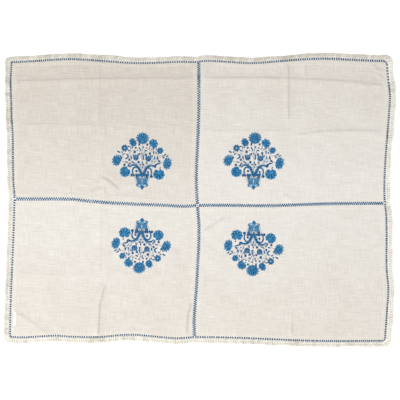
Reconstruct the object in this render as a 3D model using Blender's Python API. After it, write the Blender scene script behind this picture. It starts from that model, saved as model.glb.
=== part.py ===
"""Embroidered tablecloth: four hemmed linen panels joined by openwork, with bars and an edging round them.

The cloth lies flat on a surface, +Z up, and is laid out first on straight lines (the layout).
Every piece then takes its real place by one sway, which bends the layout to the lines as they lie.
Lengths in the tables are in millimetres.
"""
import math
from collections import namedtuple

import bmesh
import bpy

MM = 0.001
GAP = 0.3

# Driving dimensions of the cloth and its trims
LINEN_THICK = 1.2
HEM_WIDTH = 17.0
HEM_THICK = 2.0
HEM_STEP = 2.0
OPENWORK_WIDTH = 12.0
OPENWORK_THICK = 1.6
OPENWORK_RAIL = 1.6
OPENWORK_THREAD = 2.2
OPENWORK_PITCH = 20.2
OPENWORK_CLOSED_END = 15.0
KNOT_RADIUS = 7.6
KNOT_TOP_RADIUS = 5.4
KNOT_THICK = 2.4
BARS_WIDTH = 9.0
BARS_THICK = 1.6
EDGING_THICK = 1.8
EDGING_REACH = {"north": 27.0, "south": 24.0, "west": 25.5, "east": 25.5}
CORNER_RADIUS = 15.0
FOLD_HALF_WIDTH = 30.0
FOLD_SHOULDER = 14.0
LONGEST_STEP = 62.0

# A line of the layout: its straight place, and how it lies along its length.
# along: distance along the line; sway: how far it lies from its place; rise: how high a fold stands there.
Line = namedtuple("Line", "place stations")
Station = namedtuple("Station", "along sway rise")


def line(place, *rows):
    """A line from rows of along, sway and, on a fold, rise."""
    return Line(place, [Station(row[0], row[1], row[2] if len(row) > 2 else 0.0) for row in rows])


# Lines that run south to north, by their place in X; along is Y
WEST_BARS = line(
    -866,
    (-622, -8), (-530, -7), (-355, -1), (-175, 7), (-10, 12), (59, 7),
    (146, 5), (266, 4), (353, -1), (441, -3), (560, -6), (627, -2),
)
WEST_FOLD = line(-458, (-636, -10, 4.0), (-387, 20, 3.4), (0, 13, 1.6), (300, -5, 2.0), (640, -17, 2.6))
MIDDLE_SEAM = line(
    -12,
    (-622, -15), (-548, -16), (-382, -4), (-295, 0), (-208, 5), (-116, 6),
    (-25, 0), (91, -6), (178, -4), (326, 3), (431, 6), (634, 6),
)
EAST_FOLD = line(412, (-636, 13, 2.6), (-560, 12, 0), (353, -2, 0), (430, -3, 2.4), (640, -4, 3.0))
EAST_BARS = line(
    862,
    (-640, -10), (-530, -3), (-401, 5), (-313, -3), (-148, -3), (-70, -5),
    (8, -13), (146, -11), (312, 0), (473, 12), (519, 12), (627, 0),
)

# Lines that run west to east, by their place in Y; along is X
SOUTH_BARS = line(
    -636,
    (-868, 5), (-804, 3), (-659, 11), (-599, 7), (-512, 4), (-452, 5), (-305, 15),
    (-98, -1), (0, 4), (174, 1), (353, -7), (441, -11), (616, -14), (845, -13),
)
SOUTH_FOLD = line(-346, (-866, 0, 1.8), (-300, 0, 1.2), (-40, 0, 0), (862, 0, 0))
CROSS_SEAM = line(
    -20,
    (-853, 26), (-600, 25), (-544, 18), (-392, 6), (-157, -4), (-70, -8),
    (-12, -4), (114, -3), (261, -5), (353, -4), (588, 4), (846, 6),
)
NORTH_FOLD = line(
    325,
    (-866, 28, 1.2), (-400, 18, 1.4), (-12, -6, 1.8), (115, -10, 1.8), (440, -14, 1.6), (862, -18, 2.8),
)
TOP_FOLD = line(552, (-866, -6, 3.0), (-12, 8, 2.6), (30, 11, 2.6), (440, -8, 3.2), (862, -28, 3.0))
NORTH_BARS = line(
    640,
    (-866, -6), (-755, -1), (-600, 8), (-480, 3), (-330, -9), (-245, -11), (-98, -5), (-24, -6),
    (13, -1), (86, -3), (234, -11), (353, -3), (496, 8), (588, 10), (850, 0),
)

UPRIGHT_LINES = (WEST_BARS, WEST_FOLD, MIDDLE_SEAM, EAST_FOLD, EAST_BARS)
LEVEL_LINES = (SOUTH_BARS, SOUTH_FOLD, CROSS_SEAM, NORTH_FOLD, TOP_FOLD, NORTH_BARS)

# Where the edging is drawn in: side, along, depth and half the length of the place
Nick = namedtuple("Nick", "side along depth half_length")
NICKS = (Nick("east", -14, 7.0, 26), Nick("west", -6, 2.5, 40), Nick("south", -20, 2.0, 60))

LINEN = ("linen", (0.80, 0.76, 0.71), 0.9)
BLUE_THREAD = ("blue thread", (0.10, 0.24, 0.42), 0.7)
CROCHET = ("crochet", (0.76, 0.73, 0.64), 0.9)


def empty_scene():
    """Remove what the new file holds."""
    for item in list(bpy.data.objects):
        bpy.data.objects.remove(item, do_unlink=True)


def new_collection(name):
    """A collection in the scene."""
    collection = bpy.data.collections.new(name)
    bpy.context.scene.collection.children.link(collection)
    return collection


def new_material(name, colour, roughness):
    """A plain cloth finish."""
    material = bpy.data.materials.new(name)
    material.use_nodes = True
    shader = material.node_tree.nodes["Principled BSDF"]
    shader.inputs["Base Color"].default_value = (*colour, 1.0)
    shader.inputs["Roughness"].default_value = roughness
    shader.inputs["Metallic"].default_value = 0.0
    return material


def new_piece(name, mesh, finish, collection):
    """An object of its own, with a material of its own."""
    piece = bpy.data.objects.new(name, mesh)
    collection.objects.link(piece)
    mesh.materials.clear()
    mesh.materials.append(new_material(f"{name} {finish[0]}", finish[1], finish[2]))
    return piece


def read_line(a_line, along, column):
    """A column of a line at a distance along it: a smooth curve through its stations."""
    rows = a_line.stations
    values = [getattr(row, column) for row in rows]
    if along <= rows[0].along:
        return values[0]
    if along >= rows[-1].along:
        return values[-1]
    k = max(i for i in range(len(rows) - 1) if rows[i].along <= along)
    span = rows[k + 1].along - rows[k].along
    t = (along - rows[k].along) / span

    def slope(i):
        if i in (0, len(rows) - 1):
            return 0.0
        return (values[i + 1] - values[i - 1]) / (rows[i + 1].along - rows[i - 1].along)

    start = (2 * t**3 - 3 * t**2 + 1) * values[k] + (t**3 - 2 * t**2 + t) * span * slope(k)
    end = (3 * t**2 - 2 * t**3) * values[k + 1] + (t**3 - t**2) * span * slope(k + 1)
    return start + end


def sway_between(lines, across, along):
    """How far the cloth lies from its layout between two lines: an even share of each."""
    if across <= lines[0].place:
        return read_line(lines[0], along, "sway")
    if across >= lines[-1].place:
        return read_line(lines[-1], along, "sway")
    k = max(i for i in range(len(lines) - 1) if lines[i].place <= across)
    share = (across - lines[k].place) / (lines[k + 1].place - lines[k].place)
    near = read_line(lines[k], along, "sway")
    far = read_line(lines[k + 1], along, "sway")
    return near + (far - near) * share


def fold_height(x, y):
    """How high the folds lift the cloth at a place of the layout."""
    height = 0.0
    for fold, across, along in (
        (WEST_FOLD, x, y), (EAST_FOLD, x, y), (SOUTH_FOLD, y, x), (NORTH_FOLD, y, x), (TOP_FOLD, y, x),
    ):
        distance = min(1.0, abs(across - fold.place) / FOLD_HALF_WIDTH)
        crown = math.cos(distance * math.pi / 2) ** 2
        if crown > 1e-6:
            height = max(height, crown * max(0.0, read_line(fold, along, "rise")))
    return height


def lay(x, y):
    """The real place of a point of the layout, in metres."""
    real_x = x + sway_between(UPRIGHT_LINES, x, y)
    real_y = y + sway_between(LEVEL_LINES, y, x)
    return ((real_x - MIDDLE[0]) * MM, (real_y - MIDDLE[1]) * MM, fold_height(x, y) * MM)


def filled(marks):
    """The marks with even steps between them, none over the longest step."""
    steps = [marks[0]]
    for start, end in zip(marks, marks[1:]):
        count = math.ceil((end - start) / LONGEST_STEP)
        steps += [start + (end - start) * i / count for i in range(1, count + 1)]
    return steps


def fold_marks(*folds):
    """The foot, shoulder and crown of each fold, in the order of its place."""
    offsets = (-FOLD_HALF_WIDTH, -FOLD_SHOULDER, 0.0, FOLD_SHOULDER, FOLD_HALF_WIDTH)
    return [fold.place + offset for fold in folds for offset in offsets]


def panel_marks(start, end, *folds):
    """The stations across a panel, from hem to hem."""
    inner = HEM_WIDTH + HEM_STEP
    hem_in = [start, start + HEM_WIDTH, start + inner]
    hem_out = [end - inner, end - HEM_WIDTH, end]
    return filled(hem_in + fold_marks(*folds) + hem_out)


HALF_BARS = BARS_WIDTH / 2
HALF_OPENWORK = OPENWORK_WIDTH / 2
TO_BARS = HALF_BARS + GAP
TO_OPENWORK = HALF_OPENWORK + GAP

# Stations of the panels: the trims beside them use the same ones, so that no edge crosses its neighbour
WEST_X = panel_marks(WEST_BARS.place + TO_BARS, MIDDLE_SEAM.place - TO_OPENWORK, WEST_FOLD)
EAST_X = panel_marks(MIDDLE_SEAM.place + TO_OPENWORK, EAST_BARS.place - TO_BARS, EAST_FOLD)
SOUTH_Y = panel_marks(SOUTH_BARS.place + TO_BARS, CROSS_SEAM.place - TO_OPENWORK, SOUTH_FOLD)
NORTH_Y = panel_marks(CROSS_SEAM.place + TO_OPENWORK, NORTH_BARS.place - TO_BARS, NORTH_FOLD, TOP_FOLD)


def rim_places(bars, reach, stations):
    """How far the rim beside a row of bars lies across the layout, at each station."""
    return [bars.place + reach + read_line(bars, along, "sway") for along in stations]


def middle_of_cloth():
    """The middle of the rim's box, so that the origin lies under the middle of the cloth."""
    west = min(rim_places(WEST_BARS, -EDGING_REACH["west"], SOUTH_Y + NORTH_Y))
    east = max(rim_places(EAST_BARS, EDGING_REACH["east"], SOUTH_Y + NORTH_Y))
    south = min(rim_places(SOUTH_BARS, -EDGING_REACH["south"], WEST_X + EAST_X))
    north = max(rim_places(NORTH_BARS, EDGING_REACH["north"], WEST_X + EAST_X))
    return ((west + east) / 2, (south + north) / 2)


MIDDLE = middle_of_cloth()


def solid_sheet(name, spots, thick, finish, collection):
    """A sheet with a place and a thickness for each point of a grid, its underside on the surface."""
    rows = len(spots)
    columns = len(spots[0])
    bm = bmesh.new()
    bmesh.ops.create_grid(bm, x_segments=columns - 1, y_segments=rows - 1, size=1.0)
    indices = {}
    for vert in bm.verts:
        i = round((vert.co.y + 1) / 2 * (rows - 1))
        j = round((vert.co.x + 1) / 2 * (columns - 1))
        indices[vert] = (i, j)
    for vert, (i, j) in indices.items():
        vert.co = lay(*spots[i][j])
    thickness = {tuple(vert.co): thick(*spots[i][j]) for vert, (i, j) in indices.items()}
    raised = bmesh.ops.extrude_face_region(bm, geom=bm.faces[:])
    for vert in raised["geom"]:
        if isinstance(vert, bmesh.types.BMVert):
            vert.co.z += thickness[tuple(vert.co)] * MM
    bmesh.ops.recalc_face_normals(bm, faces=bm.faces[:])
    mesh = bpy.data.meshes.new(name)
    bm.to_mesh(mesh)
    bm.free()
    return new_piece(name, mesh, finish, collection)


def add_panel(name, xs, ys, collection):
    """A linen panel: thin inside, and twice as thick where its hem is turned under."""
    def thick(x, y):
        to_edge = min(x - xs[0], xs[-1] - x, y - ys[0], ys[-1] - y)
        return HEM_THICK if to_edge < HEM_WIDTH + HEM_STEP / 2 else LINEN_THICK

    spots = [[(x, y) for x in xs] for y in ys]
    return solid_sheet(name, spots, thick, LINEN, collection)


def turned(side, along, out):
    """A point of the layout beside one edge of the cloth: along the edge, and out from its row of bars."""
    if side == "north":
        return (along, NORTH_BARS.place + out)
    if side == "south":
        return (along, SOUTH_BARS.place - out)
    if side == "west":
        return (WEST_BARS.place - out, along)
    return (EAST_BARS.place + out, along)


def side_ends(side):
    """The places of the two neighbouring rows of bars at the ends of a side."""
    if side in ("north", "south"):
        return WEST_BARS.place, EAST_BARS.place
    return SOUTH_BARS.place, NORTH_BARS.place


def side_stations(side):
    """The stations of the panels along a side."""
    return WEST_X + EAST_X if side in ("north", "south") else SOUTH_Y + NORTH_Y


def end_sides(side):
    """The neighbouring sides at the start and the end of a side."""
    return ("west", "east") if side in ("north", "south") else ("south", "north")


def add_bars(side, collection):
    """The narrow row of bars along one side, mitred at both ends."""
    start, end = side_ends(side)
    mitre_gap = GAP / math.sqrt(2)
    inner = side_stations(side)
    inner = [start + HALF_BARS + mitre_gap] + inner[1:-1] + [end - HALF_BARS - mitre_gap]
    outer = [start - HALF_BARS + mitre_gap] + inner[1:-1] + [end + HALF_BARS - mitre_gap]
    spots = [
        [turned(side, along, -HALF_BARS) for along in inner],
        [turned(side, along, HALF_BARS) for along in outer],
    ]
    return solid_sheet(f"bars_{side}", spots, lambda x, y: BARS_THICK, BLUE_THREAD, collection)


def nick_depth(side, along):
    """How far the edging's rim is drawn in at a place."""
    depth = 0.0
    for nick in NICKS:
        if nick.side == side:
            depth += nick.depth * max(0.0, 1 - abs(along - nick.along) / nick.half_length)
    return depth


def corner_arc(reach, end_reach):
    """Half of a rounded corner from its middle to the straight rim: distances past the end line, and out."""
    points = []
    for degrees in (45.0, 22.5, 0.0):
        angle = math.radians(degrees)
        past = end_reach - CORNER_RADIUS + CORNER_RADIUS * math.sin(angle)
        out = reach - CORNER_RADIUS + CORNER_RADIUS * math.cos(angle)
        points.append((past, out))
    return points


def add_edging(side, collection):
    """The crochet edging along one side, its corners rounded and mitred."""
    start, end = side_ends(side)
    start_side, end_side = end_sides(side)
    reach = EDGING_REACH[side]
    mitre_gap = GAP / math.sqrt(2)
    middle = side_stations(side)[1:-1]
    inner_corner = (TO_BARS - mitre_gap, TO_BARS - 1.6, TO_BARS - 3.2)
    first_arc = corner_arc(reach, EDGING_REACH[start_side])
    last_arc = corner_arc(reach, EDGING_REACH[end_side])
    inner = [turned(side, start - past, TO_BARS) for past in inner_corner]
    outer = [turned(side, start - past + mitre_gap, out) for past, out in first_arc]
    for along in middle:
        inner.append(turned(side, along, TO_BARS))
        outer.append(turned(side, along, reach - nick_depth(side, along)))
    inner += [turned(side, end + past, TO_BARS) for past in reversed(inner_corner)]
    outer += [turned(side, end + past - mitre_gap, out) for past, out in reversed(last_arc)]
    spots = [inner, outer]
    return solid_sheet(f"edging_{side}", spots, lambda x, y: EDGING_THICK, CROCHET, collection)


def openwork_gaps(length):
    """The triangular gaps of the zigzag, in distances along an arm and across it."""
    channel = HALF_OPENWORK - OPENWORK_RAIL
    step = OPENWORK_PITCH / 2
    slant = math.atan2(2 * channel, step)
    foot = OPENWORK_THREAD / 2 / math.sin(slant)
    tip = channel - OPENWORK_THREAD / 2 / math.cos(slant)
    count = int((length - 2 * OPENWORK_CLOSED_END) / step) - 1
    first = (length - (count + 1) * step) / 2
    gaps = []
    for k in range(count):
        side = 1 if k % 2 else -1
        start = first + k * step
        corners = [
            (start + foot, side * channel),
            (start + OPENWORK_PITCH - foot, side * channel),
            (start + step, -side * tip),
        ]
        gaps.append(corners)
    return gaps


def add_openwork(name, stations, place, upright, collection):
    """One arm of the cross: two rails with a zigzag between them, cut through."""
    def spot(along, across):
        point = (place + across, along) if upright else (along, place + across)
        return lay(*point)

    outline = [spot(along, -HALF_OPENWORK) for along in stations]
    outline += [spot(along, HALF_OPENWORK) for along in reversed(stations)]
    loops = [outline]
    for gap in openwork_gaps(stations[-1] - stations[0]):
        loops.append([spot(stations[0] + along, across) for along, across in gap])

    curve = bpy.data.curves.new(name, "CURVE")
    curve.dimensions = "2D"
    curve.fill_mode = "BOTH"
    curve.extrude = OPENWORK_THICK / 2 * MM
    heights = {}
    for loop in loops:
        spline = curve.splines.new("POLY")
        spline.points.add(len(loop) - 1)
        for point, (x, y, z) in zip(spline.points, loop):
            point.co = (x, y, 0.0, 1.0)
            heights[(round(x, 5), round(y, 5))] = z
        spline.use_cyclic_u = True
    drawn = bpy.data.objects.new(f"{name} outline", curve)
    collection.objects.link(drawn)
    bpy.context.view_layer.update()
    evaluated = drawn.evaluated_get(bpy.context.evaluated_depsgraph_get())
    mesh = bpy.data.meshes.new_from_object(evaluated)
    bpy.data.objects.remove(drawn, do_unlink=True)

    bm = bmesh.new()
    bm.from_mesh(mesh)
    bmesh.ops.remove_doubles(bm, verts=bm.verts[:], dist=0.00001)
    bmesh.ops.triangulate(bm, faces=bm.faces[:])
    for vert in bm.verts:
        vert.co.z += OPENWORK_THICK / 2 * MM
        vert.co.z += heights.get((round(vert.co.x, 5), round(vert.co.y, 5)), 0.0)
    bmesh.ops.recalc_face_normals(bm, faces=bm.faces[:])
    bm.to_mesh(mesh)
    bm.free()
    mesh.name = name
    return new_piece(name, mesh, BLUE_THREAD, collection)


def add_knot(collection):
    """The round knot where the four arms meet: a low turned button of thread."""
    x, y, _ = lay(MIDDLE_SEAM.place, CROSS_SEAM.place)
    bm = bmesh.new()
    bmesh.ops.create_cone(
        bm, cap_ends=True, segments=16, radius1=KNOT_RADIUS * MM, radius2=KNOT_TOP_RADIUS * MM,
        depth=KNOT_THICK * MM,
    )
    mesh = bpy.data.meshes.new("knot")
    bm.to_mesh(mesh)
    bm.free()
    knot = new_piece("knot", mesh, BLUE_THREAD, collection)
    knot.location = (x, y, KNOT_THICK / 2 * MM)
    return knot


def main():
    empty_scene()
    cloth = new_collection("embroidered_tablecloth")
    for level, ys in (("n", NORTH_Y), ("s", SOUTH_Y)):
        for upright, xs in (("w", WEST_X), ("e", EAST_X)):
            add_panel(f"panel_{level}{upright}", xs, ys, cloth)
    knot_room = KNOT_RADIUS + GAP + 0.2
    south_end = CROSS_SEAM.place - knot_room
    north_end = CROSS_SEAM.place + knot_room
    west_end = MIDDLE_SEAM.place - knot_room
    east_end = MIDDLE_SEAM.place + knot_room
    add_openwork("openwork_south", SOUTH_Y[:-1] + [south_end], MIDDLE_SEAM.place, True, cloth)
    add_openwork("openwork_north", [north_end] + NORTH_Y[1:], MIDDLE_SEAM.place, True, cloth)
    add_openwork("openwork_west", WEST_X[:-1] + [west_end], CROSS_SEAM.place, False, cloth)
    add_openwork("openwork_east", [east_end] + EAST_X[1:], CROSS_SEAM.place, False, cloth)
    add_knot(cloth)
    for side in ("north", "east", "south", "west"):
        add_bars(side, cloth)
        add_edging(side, cloth)


main()
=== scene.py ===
# %% [markdown]
# # An embroidered linen tablecloth
# Four hemmed linen panels are joined by a cross of blue openwork. A row of blue bars and a dense crochet
# edging run round them, and each panel carries a vase of flowers in blue satin stitch. Nearly everything
# that shows is thread, so this lesson models one strand well and then lays thousands of copies of it where
# a hand would have put them. The cloth under them is four thin sheets with their folds.

import math
from collections import namedtuple

import bpy
import numpy as np
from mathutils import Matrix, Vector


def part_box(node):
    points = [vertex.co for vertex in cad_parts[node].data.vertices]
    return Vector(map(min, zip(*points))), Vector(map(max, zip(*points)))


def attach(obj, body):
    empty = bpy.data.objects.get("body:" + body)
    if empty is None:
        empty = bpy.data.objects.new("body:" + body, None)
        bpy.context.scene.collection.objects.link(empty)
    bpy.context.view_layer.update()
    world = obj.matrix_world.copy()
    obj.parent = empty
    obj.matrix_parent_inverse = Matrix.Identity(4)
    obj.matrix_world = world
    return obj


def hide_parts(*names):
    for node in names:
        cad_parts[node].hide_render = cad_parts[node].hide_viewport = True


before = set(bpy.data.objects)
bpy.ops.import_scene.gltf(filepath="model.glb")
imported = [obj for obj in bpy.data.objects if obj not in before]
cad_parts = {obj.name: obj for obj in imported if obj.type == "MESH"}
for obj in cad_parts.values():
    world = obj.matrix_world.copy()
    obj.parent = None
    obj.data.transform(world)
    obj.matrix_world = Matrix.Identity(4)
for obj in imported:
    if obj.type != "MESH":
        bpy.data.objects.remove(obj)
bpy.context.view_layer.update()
print("solids:", sorted(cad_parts))

# %% [markdown]
# ## The layout and its sway
# A hand-made cloth never lies quite straight. The pieces are laid out on straight lines first, in
# millimetres, and one sway then bends them all to the lines as they really lie. Each line has a straight
# place and a few stations: how far along, how far off its place, and how high a fold stands there. The
# solids were shaped by the same lines, within a millimetre or two, so every thread lands on its solid.

# %% The lines of the cloth
MM = 0.001

Line = namedtuple("Line", "place rows")

WEST_BARS = Line(-867, (
    (-622, -8), (-530, -7), (-355, -1), (-175, 7), (-10, 12), (59, 7),
    (146, 5), (266, 4), (353, -1), (441, -3), (560, -6), (627, -2),
))
WEST_FOLD = Line(-458, ((-636, -10, 4.0), (-387, 20, 3.4), (0, 13, 1.6), (300, -5, 2.0), (640, -17, 2.6)))
MIDDLE_SEAM = Line(-12, (
    (-622, -15), (-548, -16), (-382, -4), (-295, 0), (-208, 5), (-116, 6),
    (-25, 0), (91, -6), (178, -4), (326, 3), (431, 6), (634, 6),
))
EAST_FOLD = Line(412, ((-636, 13, 2.6), (-560, 12, 0), (353, -2, 0), (430, -3, 2.4), (640, -4, 3.0)))
EAST_BARS = Line(861, (
    (-640, -10), (-530, -3), (-401, 5), (-313, -3), (-148, -3), (-70, -5),
    (8, -13), (146, -11), (312, 0), (473, 12), (519, 12), (627, 0),
))
SOUTH_BARS = Line(-634.5, (
    (-868, 5), (-804, 3), (-659, 11), (-599, 7), (-512, 4), (-452, 5), (-305, 15),
    (-98, -1), (0, 4), (174, 1), (353, -7), (441, -11), (616, -14), (845, -13),
))
SOUTH_FOLD = Line(-346, ((-866, 0, 1.8), (-300, 0, 1.2), (-40, 0, 0), (862, 0, 0)))
CROSS_SEAM = Line(-20, (
    (-853, 26), (-600, 25), (-544, 18), (-392, 6), (-157, -4), (-70, -8),
    (-12, -4), (114, -3), (261, -5), (353, -4), (588, 4), (846, 6),
))
NORTH_FOLD = Line(325, (
    (-866, 28, 1.2), (-400, 18, 1.4), (-12, -6, 1.8), (115, -10, 1.8), (440, -14, 1.6), (862, -18, 2.8),
))
TOP_FOLD = Line(552, ((-866, -6, 3.0), (-12, 8, 2.6), (30, 11, 2.6), (440, -8, 3.2), (862, -28, 3.0)))
NORTH_BARS = Line(642, (
    (-866, -6), (-755, -1), (-600, 8), (-480, 3), (-330, -9), (-245, -11), (-98, -5), (-24, -6),
    (13, -1), (86, -3), (234, -11), (353, -3), (496, 8), (588, 10), (850, 0),
))

UPRIGHT_LINES = (WEST_BARS, WEST_FOLD, MIDDLE_SEAM, EAST_FOLD, EAST_BARS)
LEVEL_LINES = (SOUTH_BARS, SOUTH_FOLD, CROSS_SEAM, NORTH_FOLD, TOP_FOLD, NORTH_BARS)
SWAY, RISE = 1, 2


def read_line(line, along, column):
    """A column of a line at many distances along it, as a smooth curve through its stations."""
    rows = np.array([row + (0.0,) * (3 - len(row)) for row in line.rows])
    at, value = rows[:, 0], rows[:, column]
    slope = np.zeros(len(at))
    slope[1:-1] = (value[2:] - value[:-2]) / (at[2:] - at[:-2])
    along = np.clip(along, at[0], at[-1])
    k = np.clip(np.searchsorted(at, along, side="right") - 1, 0, len(at) - 2)
    span = at[k + 1] - at[k]
    t = (along - at[k]) / span
    start = (2 * t**3 - 3 * t**2 + 1) * value[k] + (t**3 - 2 * t**2 + t) * span * slope[k]
    return start + (3 * t**2 - 2 * t**3) * value[k + 1] + (t**3 - t**2) * span * slope[k + 1]


def sway_between(lines, across, along):
    """How far each point lies from its layout: an even share of the two lines beside it."""
    places = np.array([line.place for line in lines], float)
    sways = np.array([read_line(line, along, SWAY) for line in lines])
    k = np.clip(np.searchsorted(places, across, side="right") - 1, 0, len(places) - 2)
    share = np.clip((across - places[k]) / (places[k + 1] - places[k]), 0, 1)
    index = np.arange(len(across))
    return sways[k, index] * (1 - share) + sways[k + 1, index] * share


def swayed(x, y):
    """The swayed place of points of the layout."""
    x, y = np.atleast_1d(np.asarray(x, float)), np.atleast_1d(np.asarray(y, float))
    return x + sway_between(UPRIGHT_LINES, x, y), y + sway_between(LEVEL_LINES, y, x)


knot_low, knot_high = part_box("knot")
knot_x, knot_y = swayed(MIDDLE_SEAM.place, CROSS_SEAM.place)
MIDDLE_X = knot_x[0] - (knot_low[0] + knot_high[0]) / 2 / MM
MIDDLE_Y = knot_y[0] - (knot_low[1] + knot_high[1]) / 2 / MM


def lay(x, y):
    """The real place of points of the layout, in millimetres from the middle of the cloth."""
    real_x, real_y = swayed(x, y)
    return real_x - MIDDLE_X, real_y - MIDDLE_Y


def unlay(x, y):
    """The points of the layout that lie at real places: the sway is small, so a few rounds find them."""
    x, y = np.asarray(x, float) + MIDDLE_X, np.asarray(y, float) + MIDDLE_Y
    guess_x, guess_y = x.copy(), y.copy()
    for _ in range(5):
        now_x, now_y = swayed(guess_x, guess_y)
        guess_x += x - now_x
        guess_y += y - now_y
    return guess_x, guess_y


print(f"the layout's middle lies at {MIDDLE_X:.2f}, {MIDDLE_Y:.2f} mm")

# %% [markdown]
# ## Folds and creases
# The cloth was stored folded, and pressed folds cross it still. A fold is a low soft swell, in the same
# place as on the solids and a little lower. Along it, and in a few other places, the linen was pressed or
# crushed into a sharper crease. A crease rises slowly on its south-west side and drops quickly on the other,
# so that light from the south-west leaves one thin dark line, and painted shade darkens the linen along that
# line too. Every crease has its own path and its own heights across it.

# %% Heights of folds and creases
FOLD_NEAR_SIDE = 46.0
FOLD_FAR_SIDE = 36.0
# The swell's height, as a share of the heights at the line's stations
SWELL = 0.6
FOLDS = ((WEST_FOLD, "upright"), (EAST_FOLD, "upright"), (SOUTH_FOLD, "level"), (NORTH_FOLD, "level"),
         (TOP_FOLD, "level"))

# A path in real millimetres, stations across it (how far to the left of the path, and how high), how much
# shade is painted along it, and over how many millimetres it fades at its ends
Crease = namedtuple("Crease", "path across grey fade", defaults=(45.0,))
# How far to each side the painted shade along a crease spreads
PAINTED_SHADE_SPREAD = 5.0
CREASES = (
    Crease(((-852, 547), (-465, 558), (-24, 562)), ((-34, 0), (-3, 1.4), (5, 0.15), (30, 0)), 0.54, 20.0),
    Crease(((11, 562), (321, 562), (542, 554), (708, 544), (846, 526)),
           ((-36, 0), (-3, 1.9), (5, 0.2), (34, 0)), 0.62, 20.0),
    Crease(((-852, 354), (-465, 344), (-327, 324)), ((-30, 0), (-3, 0.68), (6, 0.1), (24, 0)), 0.24),
    Crease(((17, 319), (388, 317)), ((-30, 0), (-3, 0.68), (6, 0.1), (24, 0)), 0.3),
    Crease(((432, 299), (570, 317), (735, 320), (846, 314)), ((-30, 0), (-3, 1.5), (5, 0.1), (26, 0)), 0.48),
    Crease(((-465, 628), (-459, 551), (-465, 344)), ((-30, 0), (-3, 1.2), (5, 0.2), (30, 0)), 0.3, 14.0),
    Crease(((-458, 358), (-438, 328), (-441, 262)), ((-22, 0), (-3, 1.2), (5, 0.1), (18, 0)), 0.42),
    Crease(((-446, 262), (-452, 190), (-460, 116)), ((-30, 0), (-3, 0.68), (6, 0.1), (24, 0)), 0.18),
    Crease(((-460, 111), (-417, 89), (-368, 47)),
           ((-44, 0), (-4, 3.6), (3, 0.1), (13, 2.4), (50, 0)), 1.5, 16.0),
    Crease(((-521, 33), (-438, 61)), ((-22, 0), (-3, 1.5), (5, 0.1), (18, 0)), 0.6),
    Crease(((-438, 64), (-437, 18)), ((-18, 0), (-3, 1.6), (4, 0.1), (14, 0)), 0.48),
    Crease(((-424, 27), (-350, 22), (-272, 16)), ((-24, 0), (-3, 0.94), (5, 0.1), (18, 0)), 0.36),
    Crease(((-454, -32), (-454, -139), (-459, -277), (-452, -360)),
           ((-30, 0), (-3, 0.94), (5, 0.1), (24, 0)), 0.36),
    Crease(((-438, -34), (-434, -86)), ((-18, 0), (-3, 0.94), (4, 0.1), (14, 0)), 0.36),
    Crease(((-436, -388), (-461, -484), (-468, -627)), ((-46, 0), (-4, 4.3), (4, 0.2), (30, 0)), 1.3, 16.0),
    Crease(((-41, -470), (-54, -525), (-62, -622)), ((-26, 0), (-3, 3.6), (4, 0.2), (16, 0)), 1.4, 16.0),
    Crease(((-858, -507), (-755, -574), (-693, -621)), ((-38, 0), (-3, 2.2), (5, 0.2), (30, 0)), 0.6),
    Crease(((-3, -156), (45, -125), (135, -65)), ((-52, 0), (-6, 2.8), (7, 0.2), (44, 0)), 0.72),
    Crease(((0, -374), (60, -370), (130, -372)), ((-24, 0), (-3, 0.94), (5, 0.1), (18, 0)), 0.36),
    Crease(((407, 626), (407, 470), (408, 362)), ((-32, 0), (-3, 2.4), (4, 0.2), (28, 0)), 0.96, 16.0),
    Crease(((487, 620), (486, 560)), ((-20, 0), (-3, 2.2), (4, 0.1), (14, 0)), 0.8, 14.0),
    Crease(((424, -560), (425, -627)), ((-28, 0), (-3, 2.3), (4, 0.2), (22, 0)), 0.84, 16.0),
    Crease(((372, 30), (438, 2)), ((-24, 0), (-3, 1.8), (5, 0.1), (18, 0)), 0.6),
    Crease(((788, 629), (833, 585)), ((-14, 0), (-2, 2), (4, 0.1), (12, 0)), 0.72),
    Crease(((802, 608), (856, 592)), ((-12, 0), (-2, 1.5), (4, 0.1), (10, 0)), 0.6),
    Crease(((808, 581), (852, 557)), ((-14, 0), (-2, 1.8), (4, 0.1), (12, 0)), 0.72),
    Crease(((786, 531), (852, 527)), ((-16, 0), (-2, 1.2), (4, 0.1), (12, 0)), 0.48),
    Crease(((-742, 578), (-700, 601), (-660, 620)), ((-24, 0), (-3, 1.1), (5, 0.1), (20, 0)), 0.24),
    Crease(((-852, -338), (-660, -342), (-482, -346)), ((-30, 0), (-3, 0.47), (6, 0.1), (24, 0)), 0.12),
)


def soft_step(share):
    """A share from 0 to 1, eased at both ends."""
    share = np.clip(share, 0, 1)
    return share * share * (3 - 2 * share)


def fold_height(x, y):
    """How high the folds lift points of the layout, in millimetres."""
    height = np.zeros_like(x)
    for fold, direction in FOLDS:
        across, along = (x, y) if direction == "upright" else (y, x)
        offset = across - fold.place
        reach = np.where(offset < 0, FOLD_NEAR_SIDE, FOLD_FAR_SIDE)
        crown = np.cos(np.clip(np.abs(offset) / reach, 0, 1) * math.pi / 2) ** 2
        height = np.maximum(height, SWELL * crown * np.maximum(0, read_line(fold, along, RISE)))
    return height


def beside_path(x, y, path):
    """How far to the left of a path real places lie, and how far along it, with the path's whole length."""
    nearest, left, along = np.full(len(x), 1e9), np.zeros(len(x)), np.zeros(len(x))
    gone = 0.0
    for (x0, y0), (x1, y1) in zip(path, path[1:]):
        length = math.dist((x0, y0), (x1, y1))
        run_x, run_y = (x1 - x0) / length, (y1 - y0) / length
        ahead = (x - x0) * run_x + (y - y0) * run_y
        side = (y - y0) * run_x - (x - x0) * run_y
        inside = np.clip(ahead, 0, length)
        distance = np.hypot(x - x0 - inside * run_x, y - y0 - inside * run_y)
        closer = distance < nearest
        nearest = np.where(closer, distance, nearest)
        left = np.where(closer, side, left)
        along = np.where(closer, gone + ahead, along)
        gone += length
    return left, along, gone


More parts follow.
